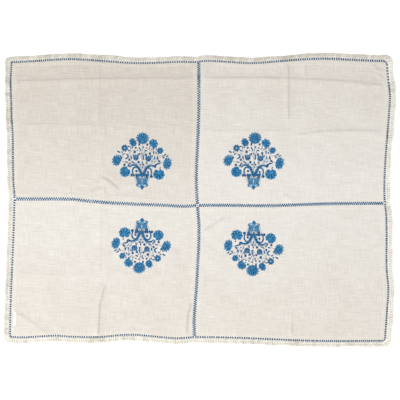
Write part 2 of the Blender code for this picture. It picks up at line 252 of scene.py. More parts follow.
def crease_height(x, y):
    """How high the creases lift real places, in millimetres, and how much shade is painted there."""
    height, grey = np.zeros(len(x)), np.zeros(len(x))
    for crease in CREASES:
        left, along, length = beside_path(x, y, crease.path)
        fade = soft_step(np.minimum(along, length - along) / min(crease.fade, 0.35 * length))
        lift = np.zeros(len(x))
        for (start, low), (end, high) in zip(crease.across, crease.across[1:]):
            within = (left >= start) & (left < end)
            lift = np.where(within, low + (high - low) * soft_step((left - start) / (end - start)), lift)
        height += lift * fade
        middle = (crease.across[1][0] + crease.across[2][0]) / 2
        # Painted shade: a dark line along the steep side of each crease
        grey = np.maximum(grey, crease.grey * fade * np.exp(-(((left - middle) / PAINTED_SHADE_SPREAD) ** 2)))
    return height, grey


# Length, direction in radians, and depth of each lazy wave
WAVES = ((210, 0.3, 0.20), (143, 1.9, 0.16), (97, 2.6, 0.13), (61, 0.9, 0.10))


def lazy_waves(x, y):
    """A slow unevenness of linen that was washed and only half pressed, in millimetres."""
    waves = np.zeros_like(x)
    for length, turn, depth in WAVES:
        run = x * math.cos(turn) + y * math.sin(turn)
        side = y * math.cos(turn) - x * math.sin(turn)
        waves += depth * np.sin(2 * math.pi * run / length + 1.7 * np.sin(side / length * 2.1))
    return waves


def cloth_floor(x, y):
    """How high the underside of the cloth stands at real places, in millimetres."""
    layout_x, layout_y = unlay(x, y)
    return fold_height(layout_x, layout_y) + crease_height(x, y)[0]


# %% [markdown]
# ## Finishes shared by several pieces
# A weave and a thread's twist are needed by more than one material, so each is a node group that puts out
# only masks and heights. The weave reads the cloth's own place in space. The twist reads the strand's own
# UV, in millimetres, so it runs along every strand whichever way that lies.

# %% Node groups
def new_group(name, inputs, outputs):
    """A shader node group with named inputs, with their usual values, and named outputs."""
    group = bpy.data.node_groups.new(name, "ShaderNodeTree")
    for socket_name, kind, value in inputs:
        socket = group.interface.new_socket(socket_name, in_out="INPUT", socket_type=kind)
        if value is not None:
            socket.default_value = value
    for socket_name, kind in outputs:
        group.interface.new_socket(socket_name, in_out="OUTPUT", socket_type=kind)
    return group, group.nodes.new("NodeGroupInput"), group.nodes.new("NodeGroupOutput")


def add_node(tree, kind, **settings):
    """A node with its settings. A setting that names an input sets that input's value."""
    node = tree.nodes.new(kind)
    for key, value in settings.items():
        if key in node.inputs:
            node.inputs[key].default_value = value
        else:
            setattr(node, key, value)
    return node


def math_node(tree, operation, first, second, clamp=False):
    """A Math node on two sockets or numbers, and its output."""
    node = add_node(tree, "ShaderNodeMath", operation=operation, use_clamp=clamp)
    for socket, value in zip(node.inputs, (first, second)):
        if isinstance(value, (int, float)):
            socket.default_value = value
        else:
            tree.links.new(value, socket)
    return node.outputs[0]


def stretched_noise(tree, vector, size, scale, detail):
    """Noise drawn out along the axes by size, and its output."""
    mapping = add_node(tree, "ShaderNodeMapping", vector_type="POINT")
    mapping.inputs["Scale"].default_value = size
    tree.links.new(vector, mapping.inputs["Vector"])
    noise = add_node(tree, "ShaderNodeTexNoise", Scale=scale, Detail=detail, Roughness=0.6)
    tree.links.new(mapping.outputs["Vector"], noise.inputs["Vector"])
    return noise.outputs["Fac"]


def weave_group():
    """Plain weave: its height, slubs both ways, slow patches of tone, and a crumple."""
    group, start, end = new_group(
        "plain weave",
        [("Place", "NodeSocketVector", None), ("Threads per metre", "NodeSocketFloat", 1150.0)],
        [("Height", "NodeSocketFloat"), ("Slubs", "NodeSocketFloat"), ("Patches", "NodeSocketFloat"),
         ("Crumple", "NodeSocketFloat")],
    )
    place, count = start.outputs["Place"], start.outputs["Threads per metre"]
    parts = add_node(group, "ShaderNodeSeparateXYZ")
    group.links.new(place, parts.inputs["Vector"])
    threads = []
    for axis, wobble in (("X", (40, 9, 1)), ("Y", (9, 40, 1))):
        drift = math_node(group, "MULTIPLY", stretched_noise(group, place, wobble, 1.0, 2.0), 0.004)
        shifted = math_node(group, "ADD", parts.outputs[axis], drift)
        turns = math_node(group, "MULTIPLY", math_node(group, "MULTIPLY", shifted, count), math.pi)
        threads.append(math_node(group, "SINE", turns, 0.0))
    warp = math_node(group, "ABSOLUTE", threads[0], 0.0)
    weft = math_node(group, "ABSOLUTE", threads[1], 0.0)
    over = math_node(group, "MULTIPLY", threads[0], threads[1])
    swing = math_node(group, "MULTIPLY", over, 0.35)
    height = math_node(group, "ADD", math_node(group, "MULTIPLY", warp, weft), swing)
    group.links.new(height, end.inputs["Height"])
    along = stretched_noise(group, place, (14, 420, 1), 1.0, 3.0)
    across = stretched_noise(group, place, (420, 14, 1), 1.0, 3.0)
    both = math_node(group, "ADD", along, across)
    group.links.new(math_node(group, "MULTIPLY", both, 0.5), end.inputs["Slubs"])
    group.links.new(stretched_noise(group, place, (7, 7, 1), 1.0, 4.0), end.inputs["Patches"])
    wide = stretched_noise(group, place, (16, 26, 1), 1.0, 3.0)
    upright = stretched_noise(group, place, (95, 14, 1), 1.0, 3.0)
    level = stretched_noise(group, place, (14, 95, 1), 1.0, 3.0)
    fine = math_node(group, "MULTIPLY", math_node(group, "ADD", upright, level), 0.26)
    group.links.new(math_node(group, "ADD", wide, fine), end.inputs["Crumple"])
    return group


def twist_group():
    """The twist of a plied thread: a height for the bump, and a fuzz that runs along it."""
    group, start, end = new_group(
        "thread twist",
        [("Along", "NodeSocketVector", None), ("Ply length", "NodeSocketFloat", 1.1)],
        [("Height", "NodeSocketFloat"), ("Fuzz", "NodeSocketFloat")],
    )
    parts = add_node(group, "ShaderNodeSeparateXYZ")
    group.links.new(start.outputs["Along"], parts.inputs["Vector"])
    slant = math_node(group, "ADD", parts.outputs["X"], math_node(group, "MULTIPLY", parts.outputs["Y"], 0.8))
    turns = math_node(group, "DIVIDE", slant, start.outputs["Ply length"])
    wave = math_node(group, "SINE", math_node(group, "MULTIPLY", turns, 2 * math.pi), 0.0)
    raised = math_node(group, "ADD", wave, 1.0)
    group.links.new(math_node(group, "MULTIPLY", raised, 0.5), end.inputs["Height"])
    fuzz = stretched_noise(group, start.outputs["Along"], (0.6, 3.0, 1), 1.0, 3.0)
    group.links.new(fuzz, end.inputs["Fuzz"])
    return group


WEAVE = weave_group()
TWIST = twist_group()
print("node groups:", [group.name for group in (WEAVE, TWIST)])


# %% [markdown]
# ## Linen
# The linen is off-white, and its slubs, thicker lengths of yarn, show as short pale and dark streaks both
# ways. A hem is two layers, so less of the table shows through and it looks a little lighter. The mesh
# carries a mask of its hems, and a mask of painted shade along its creases.

# %% The linen material
def mixed(tree, factor, first, second, blend="MIX"):
    """A colour Mix node between sockets or plain colours, and its output."""
    node = add_node(tree, "ShaderNodeMix", data_type="RGBA", blend_type=blend)
    for socket, value in ((node.inputs[0], factor), (node.inputs[6], first), (node.inputs[7], second)):
        if isinstance(value, (int, float)):
            socket.default_value = value
        elif isinstance(value, tuple):
            socket.default_value = (*value, 1.0)
        else:
            tree.links.new(value, socket)
    return node.outputs[2]


def ranged(tree, value, low, high, to_low, to_high):
    """A Map Range node, and its output."""
    node = add_node(tree, "ShaderNodeMapRange")
    tree.links.new(value, node.inputs["Value"])
    for name, number in (("From Min", low), ("From Max", high), ("To Min", to_low), ("To Max", to_high)):
        node.inputs[name].default_value = number
    return node.outputs["Result"]


def new_material(name, roughness):
    """A material, its tree and its shader."""
    material = bpy.data.materials.new(name)
    material.use_nodes = True
    shader = material.node_tree.nodes["Principled BSDF"]
    shader.inputs["Roughness"].default_value = roughness
    shader.inputs["Specular IOR Level"].default_value = 0.12
    return material, material.node_tree, shader


def attribute(tree, name):
    """A float attribute of the mesh."""
    return add_node(tree, "ShaderNodeAttribute", attribute_name=name).outputs["Fac"]


def bumped(tree, shader, height, distance, strength):
    """A Bump node that feeds the shader. Its distance is in metres."""
    bump = add_node(tree, "ShaderNodeBump", Distance=distance, Strength=strength)
    tree.links.new(height, bump.inputs["Height"])
    tree.links.new(bump.outputs["Normal"], shader.inputs["Normal"])
    return bump


def linen_material():
    """Off-white linen between a warm and a pale tone, with slubs, patches, paler hems and painted shade along
    the creases.
    """
    material, tree, shader = new_material("linen", 0.88)
    shader.inputs["Sheen Weight"].default_value = 0.05
    place = add_node(tree, "ShaderNodeTexCoord").outputs["Object"]
    weave = add_node(tree, "ShaderNodeGroup", node_tree=WEAVE)
    tree.links.new(place, weave.inputs["Place"])
    slubs = ranged(tree, weave.outputs["Slubs"], 0.39, 0.61, 0.0, 1.0)
    warm = mixed(tree, slubs, (0.440, 0.407, 0.360), (0.545, 0.509, 0.460))
    pale = mixed(tree, slubs, (0.545, 0.532, 0.506), (0.638, 0.625, 0.596))
    # The tone holds each panel's own tone together with painted light and shade, paler across the middle of
    # the cloth
    cloth = mixed(tree, attribute(tree, "tone"), warm, pale)
    patches = ranged(tree, weave.outputs["Patches"], 0.35, 0.65, 0.0, 1.0)
    toned = mixed(tree, patches, (0.965, 0.955, 0.945), (1.0, 1.0, 1.0))
    cloth = mixed(tree, 1.0, cloth, toned, "MULTIPLY")
    hem = math_node(tree, "MULTIPLY", attribute(tree, "hem"), 0.22)
    cloth = mixed(tree, hem, cloth, (0.60, 0.575, 0.505))
    # Painted shade: the linen darkens along the creases
    crease_shade_amount = math_node(tree, "MULTIPLY", attribute(tree, "fold"), 0.24, clamp=True)
    cloth = mixed(tree, crease_shade_amount, cloth, (0.30, 0.27, 0.23))
    tree.links.new(cloth, shader.inputs["Base Color"])
    threads = bumped(tree, shader, weave.outputs["Height"], 0.0003, 0.34)
    crumpled = add_node(tree, "ShaderNodeBump", Distance=0.0034, Strength=1.0)
    tree.links.new(weave.outputs["Crumple"], crumpled.inputs["Height"])
    tree.links.new(crumpled.outputs["Normal"], threads.inputs["Normal"])
    return material


LINEN = linen_material()

# %% [markdown]
# ## Thread
# Cotton thread has a soft gloss that follows its twist. Every strand has its own shade, from 0 for the
# darkest to 1 for the palest, because hand-dyed thread is never even and the light catches each strand
# differently.

# %% Thread materials
def thread_material(name, dark, middle, light, ply, roughness):
    """A plied cotton thread whose colour runs from dark to light by each strand's shade."""
    material, tree, shader = new_material(name, roughness)
    shader.inputs["Sheen Weight"].default_value = 0.02
    along = add_node(tree, "ShaderNodeUVMap", uv_map="strand").outputs["UV"]
    twist = add_node(tree, "ShaderNodeGroup", node_tree=TWIST)
    twist.inputs["Ply length"].default_value = ply
    tree.links.new(along, twist.inputs["Along"])
    shade = attribute(tree, "shade")
    lower = mixed(tree, ranged(tree, shade, 0.0, 0.5, 0.0, 1.0), dark, middle)
    colour = mixed(tree, ranged(tree, shade, 0.5, 1.0, 0.0, 1.0), lower, light)
    fuzz = ranged(tree, twist.outputs["Fuzz"], 0.3, 0.7, 0.0, 0.35)
    colour = mixed(tree, fuzz, colour, middle)
    # Painted shade: the colour darkens in the grooves between the plies
    between = ranged(tree, twist.outputs["Height"], 0.0, 0.45, 0.30, 0.0)
    colour = mixed(tree, between, colour, dark)
    tree.links.new(colour, shader.inputs["Base Color"])
    bumped(tree, shader, twist.outputs["Height"], 0.00025, 0.6)
    return material


# Each has a dark, a middle and a light colour, and one turn of its plies takes so many millimetres
BLUE = thread_material(
    "blue cotton",
    (0.002, 0.042, 0.120), (0.012, 0.146, 0.325), (0.13, 0.43, 0.66),
    ply=1.1, roughness=0.6,
)
NAVY = thread_material(
    "dark blue cotton",
    (0.030, 0.060, 0.115), (0.088, 0.150, 0.235), (0.22, 0.31, 0.42),
    ply=1.1, roughness=0.7,
)
DEEP = thread_material(
    "openwork cotton",
    (0.018, 0.063, 0.136), (0.065, 0.156, 0.267), (0.178, 0.319, 0.468),
    ply=1.1, roughness=0.7,
)
CREAM = thread_material(
    "cream cotton",
    (0.46, 0.43, 0.36), (0.735, 0.70, 0.615), (0.92, 0.90, 0.83),
    ply=1.3, roughness=0.8,
)
WHITE = thread_material(
    "white cotton",
    (0.62, 0.62, 0.60), (0.84, 0.84, 0.82), (0.95, 0.95, 0.93),
    ply=1.3, roughness=0.8,
)
print("materials:", LINEN.name, BLUE.name, NAVY.name, DEEP.name, CREAM.name, WHITE.name)

# %% [markdown]
# ## One strand
# A strand of satin stitch is a low half-round bar that swells in the middle and dives into the cloth at
# both ends. It could be a curve with a bevel, but thousands of curves are slow. So one short bar is
# modelled from a six-sided cylinder: the lower half is cut away, one ring is added in the middle and the
# ends are drawn in.

# %% Model the strand
def clear_selection():
    if bpy.context.object and bpy.context.object.mode != "OBJECT":
        bpy.ops.object.mode_set(mode="OBJECT")
    bpy.ops.object.select_all(action="DESELECT")


def select_points(obj, chosen):
    """In edit mode, select the points for which chosen is true."""
    bpy.ops.mesh.select_all(action="DESELECT")
    bpy.ops.object.mode_set(mode="OBJECT")
    for point in obj.data.vertices:
        point.select = chosen(point.co)
    bpy.ops.object.mode_set(mode="EDIT")


STRAND_SIDES = 6
STRAND_END_SCALE = (1.0, 0.62, 0.45)


def model_strand():
    """The half-round bar, one unit long, wide and high, as arrays of its points and faces."""
    clear_selection()
    lying = (0, math.pi / 2, 0)
    bpy.ops.mesh.primitive_cylinder_add(vertices=STRAND_SIDES, radius=0.5, depth=1, rotation=lying)
    bar = bpy.context.object
    bpy.ops.object.transform_apply(location=True, rotation=True, scale=True)
    bpy.ops.object.mode_set(mode="EDIT")
    bpy.ops.mesh.select_mode(type="VERT")
    bpy.ops.mesh.select_all(action="SELECT")
    bpy.ops.mesh.bisect(plane_co=(0, 0, 0), plane_no=(0, 0, 1), clear_inner=True, use_fill=True)
    bpy.ops.mesh.select_all(action="SELECT")
    bpy.ops.mesh.bisect(plane_co=(0, 0, 0), plane_no=(1, 0, 0))
    for end in (-0.5, 0.5):
        select_points(bar, lambda co: abs(co.x - end) < 0.01)
        bpy.ops.transform.resize(value=STRAND_END_SCALE, center_override=(end, 0, 0))
    bpy.ops.mesh.select_all(action="SELECT")
    bpy.ops.mesh.remove_doubles(threshold=0.0001)
    bpy.ops.mesh.normals_make_consistent(inside=False)
    bpy.ops.object.mode_set(mode="OBJECT")
    points = np.array([point.co[:] for point in bar.data.vertices])
    points[:, 2] /= points[:, 2].max()
    faces = [list(face.vertices) for face in bar.data.polygons]
    bpy.data.objects.remove(bar, do_unlink=True)
    return points, faces


STRAND_POINTS, STRAND_FACES = model_strand()
print(f"one strand: {len(STRAND_POINTS)} points, {len(STRAND_FACES)} faces")

# %% [markdown]
# ## Laying strands
# A table with a row for each strand says where it starts and ends, how wide and high it is and its shade.
# All strands of a piece become one mesh, each a copy of the modelled bar, with its own UV in millimetres.

# %% Strands to mesh
Strand = namedtuple("Strand", "x0 y0 z0 x1 y1 z1 width height shade")
dice = np.random.default_rng(11)


def lay_strands(name, strands, material):
    """A piece made of strands. Their sizes and real places are in millimetres."""
    table = np.array(strands, float)
    starts, ends = table[:, 0:3], table[:, 3:6]
    width, height, shade = table[:, 6], table[:, 7], table[:, 8]
    run = ends - starts
    length = np.linalg.norm(run, axis=1)
    ahead = run / length[:, None]
    side = np.cross((0.0, 0.0, 1.0), ahead)
    side /= np.linalg.norm(side, axis=1)[:, None]
    up = np.cross(ahead, side)
    points = (starts + ends)[:, None, :] / 2 + STRAND_POINTS[None, :, 0, None] * run[:, None, :]
    points = points + STRAND_POINTS[None, :, 1, None] * (side * width[:, None])[:, None, :]
    points = points + STRAND_POINTS[None, :, 2, None] * (up * height[:, None])[:, None, :]

    count = len(STRAND_POINTS)
    corners = np.concatenate(STRAND_FACES)
    corner_counts = np.array([len(face) for face in STRAND_FACES])
    offsets = np.arange(len(table)) * count
    corner_points = (corners[None, :] + offsets[:, None]).ravel()
    totals = np.tile(corner_counts, len(table))
    mesh = bpy.data.meshes.new(name)
    mesh.vertices.add(len(table) * count)
    mesh.vertices.foreach_set("co", (points * MM).ravel())
    mesh.loops.add(len(corner_points))
    mesh.loops.foreach_set("vertex_index", corner_points)
    mesh.polygons.add(len(totals))
    mesh.polygons.foreach_set("loop_start", np.concatenate(([0], np.cumsum(totals)[:-1])))
    mesh.update(calc_edges=True)

    along = (STRAND_POINTS[None, :, 0] + 0.5) * length[:, None] + dice.uniform(0, 9, len(table))[:, None]
    across = STRAND_POINTS[None, :, 1] * width[:, None]
    uv = np.stack((along.ravel()[corner_points], across.ravel()[corner_points]), axis=1)
    mesh.uv_layers.new(name="strand").data.foreach_set("uv", uv.ravel())
    shades = mesh.attributes.new("shade", "FLOAT", "POINT")
    shades.data.foreach_set("value", np.repeat(shade, count))
    mesh.shade_smooth()
    mesh.materials.append(material)
    piece = bpy.data.objects.new(name, mesh)
    bpy.context.scene.collection.objects.link(piece)
    print(f"{name}: {len(table)} strands, {len(table) * sum(corner_counts - 2)} triangles")
    return piece


def shade_near(middle, spread=0.14):
    """A strand's shade, somewhere near a middle one."""
    return float(np.clip(middle + dice.normal(0, spread), 0, 1))


# %% [markdown]
# ## Stations of the cloth
# The panels lie between the row of bars and the openwork. A grid that is even everywhere would need a great
# many faces to show a fold, so the grid lines stand close together at the hems and folds and further apart
# elsewhere.

# %% Sizes of panels and trims
BARS_WIDTH = 9.0
OPENWORK_WIDTH = 12.0
GAP = 0.3
TO_BARS = BARS_WIDTH / 2 + GAP
TO_OPENWORK = OPENWORK_WIDTH / 2 + GAP
HEM_WIDTH = 17.0
LINEN_THICK = 1.0
HEM_THICK = 1.4
EDGE_ROUND = 1.3
OPEN_STEP = 7.5
FOLD_STEP = 4.0
FOLD_STEPS_NEAR = 44.0
FOLD_STEPS_FAR = 36.0

WEST_EDGE, EAST_EDGE = WEST_BARS.place + TO_BARS, EAST_BARS.place - TO_BARS
SOUTH_EDGE, NORTH_EDGE = SOUTH_BARS.place + TO_BARS, NORTH_BARS.place - TO_BARS
Panel = namedtuple("Panel", "west east south north upright_folds level_folds")
PANELS = {
    "nw": Panel(WEST_EDGE, MIDDLE_SEAM.place - TO_OPENWORK, CROSS_SEAM.place + TO_OPENWORK, NORTH_EDGE,
                (WEST_FOLD,), (NORTH_FOLD, TOP_FOLD)),
    "ne": Panel(MIDDLE_SEAM.place + TO_OPENWORK, EAST_EDGE, CROSS_SEAM.place + TO_OPENWORK, NORTH_EDGE,
                (EAST_FOLD,), (NORTH_FOLD, TOP_FOLD)),
    "sw": Panel(WEST_EDGE, MIDDLE_SEAM.place - TO_OPENWORK, SOUTH_EDGE, CROSS_SEAM.place - TO_OPENWORK,
                (WEST_FOLD,), (SOUTH_FOLD,)),
    "se": Panel(MIDDLE_SEAM.place + TO_OPENWORK, EAST_EDGE, SOUTH_EDGE, CROSS_SEAM.place - TO_OPENWORK,
                (EAST_FOLD,), (SOUTH_FOLD,)),
}
# How pale each panel is, from 0 to 1: partly their own tone, as they were cut from different lengths of
# cloth, and partly painted shade, darkest on the north-west panel. Painted light makes the middle of the
# whole paler, so much and over so many millimetres up and down
PANEL_TONES_AND_SHADE = {"nw": 0.07, "ne": 0.50, "sw": 0.35, "se": 0.43}
MIDDLE_PAINTED_LIGHT = 0.40
MIDDLE_PAINTED_LIGHT_REACH = 620.0
EDGE_STEPS = (0.0, 0.5, 1.3, 3.0, 9.0, 15.0, 16.5, 18.0, 19.5, 22.0)
# Beside the south-west corner a panel has come loose from its bars: from and to in real Y, and how far it
# gapes. It is drawn in over so many millimetres of its width, and the gap narrows towards both ends
LOOSE_SEAM = (-596.0, -506.0, 20.0)
LOOSE_REACH = 60.0
LOOSE_ENDS = (22.0, 14.0)


def grid_lines(start, end, folds):
    """Places of the grid lines from one edge of a panel to the other."""
    marks = [start + step for step in EDGE_STEPS]
    for fold in folds:
        near, far = fold.place - FOLD_STEPS_NEAR, fold.place + FOLD_STEPS_FAR
        marks += list(np.linspace(near, far, math.ceil((far - near) / FOLD_STEP) + 1))
    marks += [end - step for step in reversed(EDGE_STEPS)]
    lines = [marks[0]]
    for before, after in zip(marks, marks[1:]):
        pieces = max(1, math.ceil((after - before) / OPEN_STEP))
        lines += [before + (after - before) * i / pieces for i in range(1, pieces + 1)]
    return np.array(lines)


def loosened(corner, x, real_y):
    """How far points of a panel are drawn in from the bars where its seam has come loose."""
    if corner != "sw":
        return 0.0
    low, high, gape = LOOSE_SEAM
    ends = soft_step((real_y - low) / LOOSE_ENDS[0]) * soft_step((high - real_y) / LOOSE_ENDS[1])
    return gape * ends * soft_step(1 - (x - PANELS["sw"].west) / LOOSE_REACH)


def hem_mask(panel, x, y):
    """1 on a panel's hems and 0 inside, with a soft step, and the distance to the nearest edge."""
    to_sides = np.minimum(x - panel.west, panel.east - x)
    to_edge = np.minimum(to_sides, np.minimum(y - panel.south, panel.north - y))
    return soft_step((HEM_WIDTH + 2 - to_edge) / 4), np.maximum(to_edge, 0)


def cloth_top(panel, x, y):
    """How high the upper side of a panel stands at real places, in millimetres."""
    layout_x, layout_y = unlay(x, y)
    hem, to_edge = hem_mask(panel, layout_x, layout_y)
    thick = LINEN_THICK + (HEM_THICK - LINEN_THICK) * hem
    rounding = np.sqrt(np.clip(1 - (1 - np.clip(to_edge / EDGE_ROUND, 0, 1)) ** 2, 0, 1))
    thick = thick * (0.45 + 0.55 * rounding)
    waves = lazy_waves(x, y) * np.clip((to_edge - HEM_WIDTH) / 25, 0, 1)
    return fold_height(layout_x, layout_y) + crease_height(x, y)[0] + thick + waves


# %% [markdown]
# ## The linen panels
# Each panel starts as a grid, whose points are moved to the swayed lines. It is extruded upwards once for
# its thickness, and its upper side is then raised over the hems, folds and creases. The thickness is real,
# so the panel is a closed thin sheet with a rounded edge and not a flat picture of one.

# %% Make a panel
def put_attribute(mesh, name, values):
    """A float attribute on the points of a mesh."""
    mesh.attributes.new(name, "FLOAT", "POINT").data.foreach_set("value", values)


def add_linen(corner):
    """The linen sheet of one panel."""
    panel = PANELS[corner]
    xs = grid_lines(panel.west, panel.east, panel.upright_folds)
    ys = grid_lines(panel.south, panel.north, panel.level_folds)
    clear_selection()
    bpy.ops.mesh.primitive_grid_add(x_subdivisions=len(xs) - 1, y_subdivisions=len(ys) - 1, size=1)
    linen = bpy.context.object
    linen.name = linen.data.name = f"linen_{corner}"
    mesh = linen.data
    co = np.empty(len(mesh.vertices) * 3)
    mesh.vertices.foreach_get("co", co)
    co = co.reshape(-1, 3)
    column = np.rint((co[:, 0] + 0.5) * (len(xs) - 1)).astype(int)
    row = np.rint((co[:, 1] + 0.5) * (len(ys) - 1)).astype(int)
    x, y = lay(xs[column], ys[row])
    x = x + loosened(corner, xs[column], y)
    co = np.stack((x, y, cloth_floor(x, y)), axis=1) * MM
    mesh.vertices.foreach_set("co", co.ravel())
    bpy.ops.object.mode_set(mode="EDIT")
    bpy.ops.mesh.select_all(action="SELECT")
    bpy.ops.mesh.extrude_region_move(TRANSFORM_OT_translate={"value": (0, 0, LINEN_THICK * MM)})
    bpy.ops.object.mode_set(mode="OBJECT")
    co = np.empty(len(mesh.vertices) * 3)
    mesh.vertices.foreach_get("co", co)
    co = co.reshape(-1, 3)
    raised = np.empty(len(mesh.vertices), bool)
    mesh.vertices.foreach_get("select", raised)
    x, y = co[:, 0] / MM, co[:, 1] / MM
    co[raised, 2] = cloth_top(panel, x[raised], y[raised]) * MM
    mesh.vertices.foreach_set("co", co.ravel())
    bpy.ops.object.mode_set(mode="EDIT")
    bpy.ops.mesh.select_all(action="SELECT")
    bpy.ops.mesh.normals_make_consistent(inside=False)
    bpy.ops.object.mode_set(mode="OBJECT")
    mesh.shade_smooth()
    layout_x, layout_y = unlay(x, y)
    put_attribute(mesh, "hem", hem_mask(panel, layout_x, layout_y)[0])
    # The painted shade along the creases
    put_attribute(mesh, "fold", crease_height(x, y)[1])
    # Each panel's tone with painted light and shade: paler across the middle, darker towards the north and
    # south ends
    put_attribute(mesh, "tone", PANEL_TONES_AND_SHADE[corner] + MIDDLE_PAINTED_LIGHT * soft_step(1 - np.abs(y) / MIDDLE_PAINTED_LIGHT_REACH))
    mesh.materials.clear()
    mesh.materials.append(LINEN)
    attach(linen, "root")
    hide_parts(f"panel_{corner}")
    print(f"{linen.name}: {len(xs)} by {len(ys)} lines")
    return linen


linens = {corner: add_linen(corner) for corner in PANELS}

# %% [markdown]
# ## The stitches of the embroidery
# A motif is drawn in its own millimetres, with the vase below and the flowers above, as rows of short satin
# stitches. Each shape has its own way of being filled: a flower is worked from its heart outwards in rings,
# a leaf or a scroll across its width, a dot straight across, and a stem as a line of single stitches.

# %% Ways of filling a shape
SATIN_WIDTH = 1.65
SATIN_PITCH = 1.35
SATIN_HEIGHT = 0.75
STEM_WIDTH = 2.0
STEM_HEIGHT = 0.6
STEM_STEP = 3.4
LONGEST_SATIN = 7.0
LOZENGE_ROWS = 14
BOLD = 1.14
# How pale each kind of shape is worked, from 0 to 1
LEAF_SHADE = 0.24
DOT_SHADE = 0.14
BAND_SHADE = 0.36
STEM_SHADE = 0.38
TULIP_SHADE = 0.36
Stitch = namedtuple("Stitch", "x0 y0 x1 y1 width height shade")


def turned(x, y, ahead, across, facing):
    """A point ahead of x, y and across it, for a shape that faces an angle in radians."""
    return (x + ahead * math.cos(facing) - across * math.sin(facing),
            y + ahead * math.sin(facing) + across * math.cos(facing))


def rim_point(angle, bloom):
    """Ahead and across of a flower's rim: scalloped in front, plain behind, and drawn in at its notch."""
    open_part = np.clip((bloom.front / 2 - abs(angle)) / 0.3, 0, 1)
    scallop = 1 - bloom.depth * open_part * (1 - abs(math.cos(angle * bloom.petals / 2)) ** 0.8)
    away = (angle - bloom.notch_at + math.pi) % (2 * math.pi) - math.pi
    notch = 1 - bloom.notch * math.exp(-((away / 0.26) ** 2))
    reach = scallop * notch
    return bloom.length * reach * math.cos(angle), bloom.width * reach * math.sin(angle)


# The half length lies the way the flower faces. The heart lies behind the middle by a share of it
Flower = namedtuple("Flower", "x y width length facing heart petals depth front notch_at notch shade")
# A ring of stitches: from and to, as shares of the way to the rim, how close it is, and how much paler
RINGS = ((0.60, 1.0, 1.0, 0.0), (0.30, 0.66, 0.72, -0.13), (0.03, 0.36, 0.42, 0.10))


def flower(stitches, bloom):
    """A carnation: three rings of stitches that fan out from its heart to its rim."""
    facing = math.radians(bloom.facing)
    bloom = bloom._replace(front=math.radians(bloom.front), notch_at=math.radians(bloom.notch_at))
    around = math.pi * (bloom.width + bloom.length)
    heart = -bloom.heart * bloom.length
    for inner, outer, density, change in RINGS:
        count = max(6, round(around * density / SATIN_PITCH))
        for i in range(count):
            angle = 2 * math.pi * (i + 0.5) / count - math.pi
            ahead, across = rim_point(angle, bloom)
            reach = outer * (1 + dice.normal(0, 0.02))
            start = inner * (1 + dice.normal(0, 0.05))
            first = turned(bloom.x, bloom.y, heart + (ahead - heart) * start, across * start, facing)
            last = turned(bloom.x, bloom.y, heart + (ahead - heart) * reach, across * reach, facing)
            if math.dist(first, last) < 1.2:
                continue
            # Painted highlight and shade: each petal is lighter down its middle and darker where it meets the
            # next
            light = bloom.shade + change + 0.40 * math.cos(angle * bloom.petals) + dice.normal(0, 0.14)
            stitches.append(Stitch(*first, *last, SATIN_WIDTH, SATIN_HEIGHT, float(np.clip(light, 0, 1))))


def tulip(stitches, x, y, length, width, facing):
    """A cup with three points, its stitches laid along it."""
    turn = math.radians(facing)
    count = round(width / SATIN_PITCH)
    for i in range(count):
        across = -1 + 2 * (i + 0.5) / count
        low = -0.5 * math.sqrt(max(0.0, 1 - abs(across) ** 2.2))
        high = 0.28 + 0.22 * abs(math.cos(across * math.pi * 1.5)) ** 0.8
        split = (low + high) / 2 + dice.normal(0, 0.03)
        for start, end, change in ((low, split + 0.10, -0.10), (split - 0.06, high, 0.14)):
            ends = []
            for ahead in (start, end):
                ends += [x + ahead * length * math.cos(turn) - across * width / 2 * math.sin(turn),
                         y + ahead * length * math.sin(turn) + across * width / 2 * math.cos(turn)]
            stitches.append(Stitch(*ends, SATIN_WIDTH, SATIN_HEIGHT, shade_near(TULIP_SHADE + change, 0.10)))


def leaf(stitches, x, y, length, width, facing, shade=LEAF_SHADE):
    """A pointed leaf, its stitches slanting across it."""
    length, width = length * BOLD, width * BOLD + 0.6
    turn = math.radians(facing)
    count = max(3, round(length / SATIN_PITCH))
    for i in range(count):
        ahead = -0.5 + (i + 0.5) / count
        half = width / 2 * math.sin(math.pi * (ahead + 0.5)) ** 0.75
        slant = half * 0.5
        ends = []
        for across, shift in ((-half, -slant), (half, slant)):
            along = ahead * length + shift
            ends += [x + along * math.cos(turn) - across * math.sin(turn),
                     y + along * math.sin(turn) + across * math.cos(turn)]
        stitches.append(Stitch(*ends, SATIN_WIDTH, SATIN_HEIGHT * 0.9, shade_near(shade, 0.10)))


def dot(stitches, x, y, radius):
    """A small round dot of straight stitches."""
    radius = radius * BOLD + 0.4
    count = max(3, round(2 * radius / SATIN_PITCH))
    for i in range(count):
        across = -1 + 2 * (i + 0.5) / count
        half = radius * math.sqrt(1 - across**2)
        place = y + across * radius
        shade = shade_near(DOT_SHADE, 0.08)
        stitches.append(Stitch(x - half, place, x + half, place, SATIN_WIDTH, SATIN_HEIGHT, shade))


def smooth_path(points, step):
    """Even steps along a smooth curve through points, each with its columns blended."""
    points = np.array(points, float)
    padded = np.vstack((2 * points[0] - points[1], points, 2 * points[-1] - points[-2]))
    fine = []
    for a, b, c, d in zip(padded, padded[1:], padded[2:], padded[3:]):
        for t in np.linspace(0, 1, 12, endpoint=False):
            fine.append(0.5 * (2 * b + (c - a) * t + (2 * a - 5 * b + 4 * c - d) * t**2
                               + (3 * b - a - 3 * c + d) * t**3))
    fine = np.array(fine + [points[-1]])
    run = np.concatenate(([0], np.cumsum(np.linalg.norm(np.diff(fine[:, :2], axis=0), axis=1))))
    at = np.linspace(0, run[-1], max(2, round(run[-1] / step) + 1))
    return np.stack([np.interp(at, run, fine[:, k]) for k in range(points.shape[1])], axis=1)


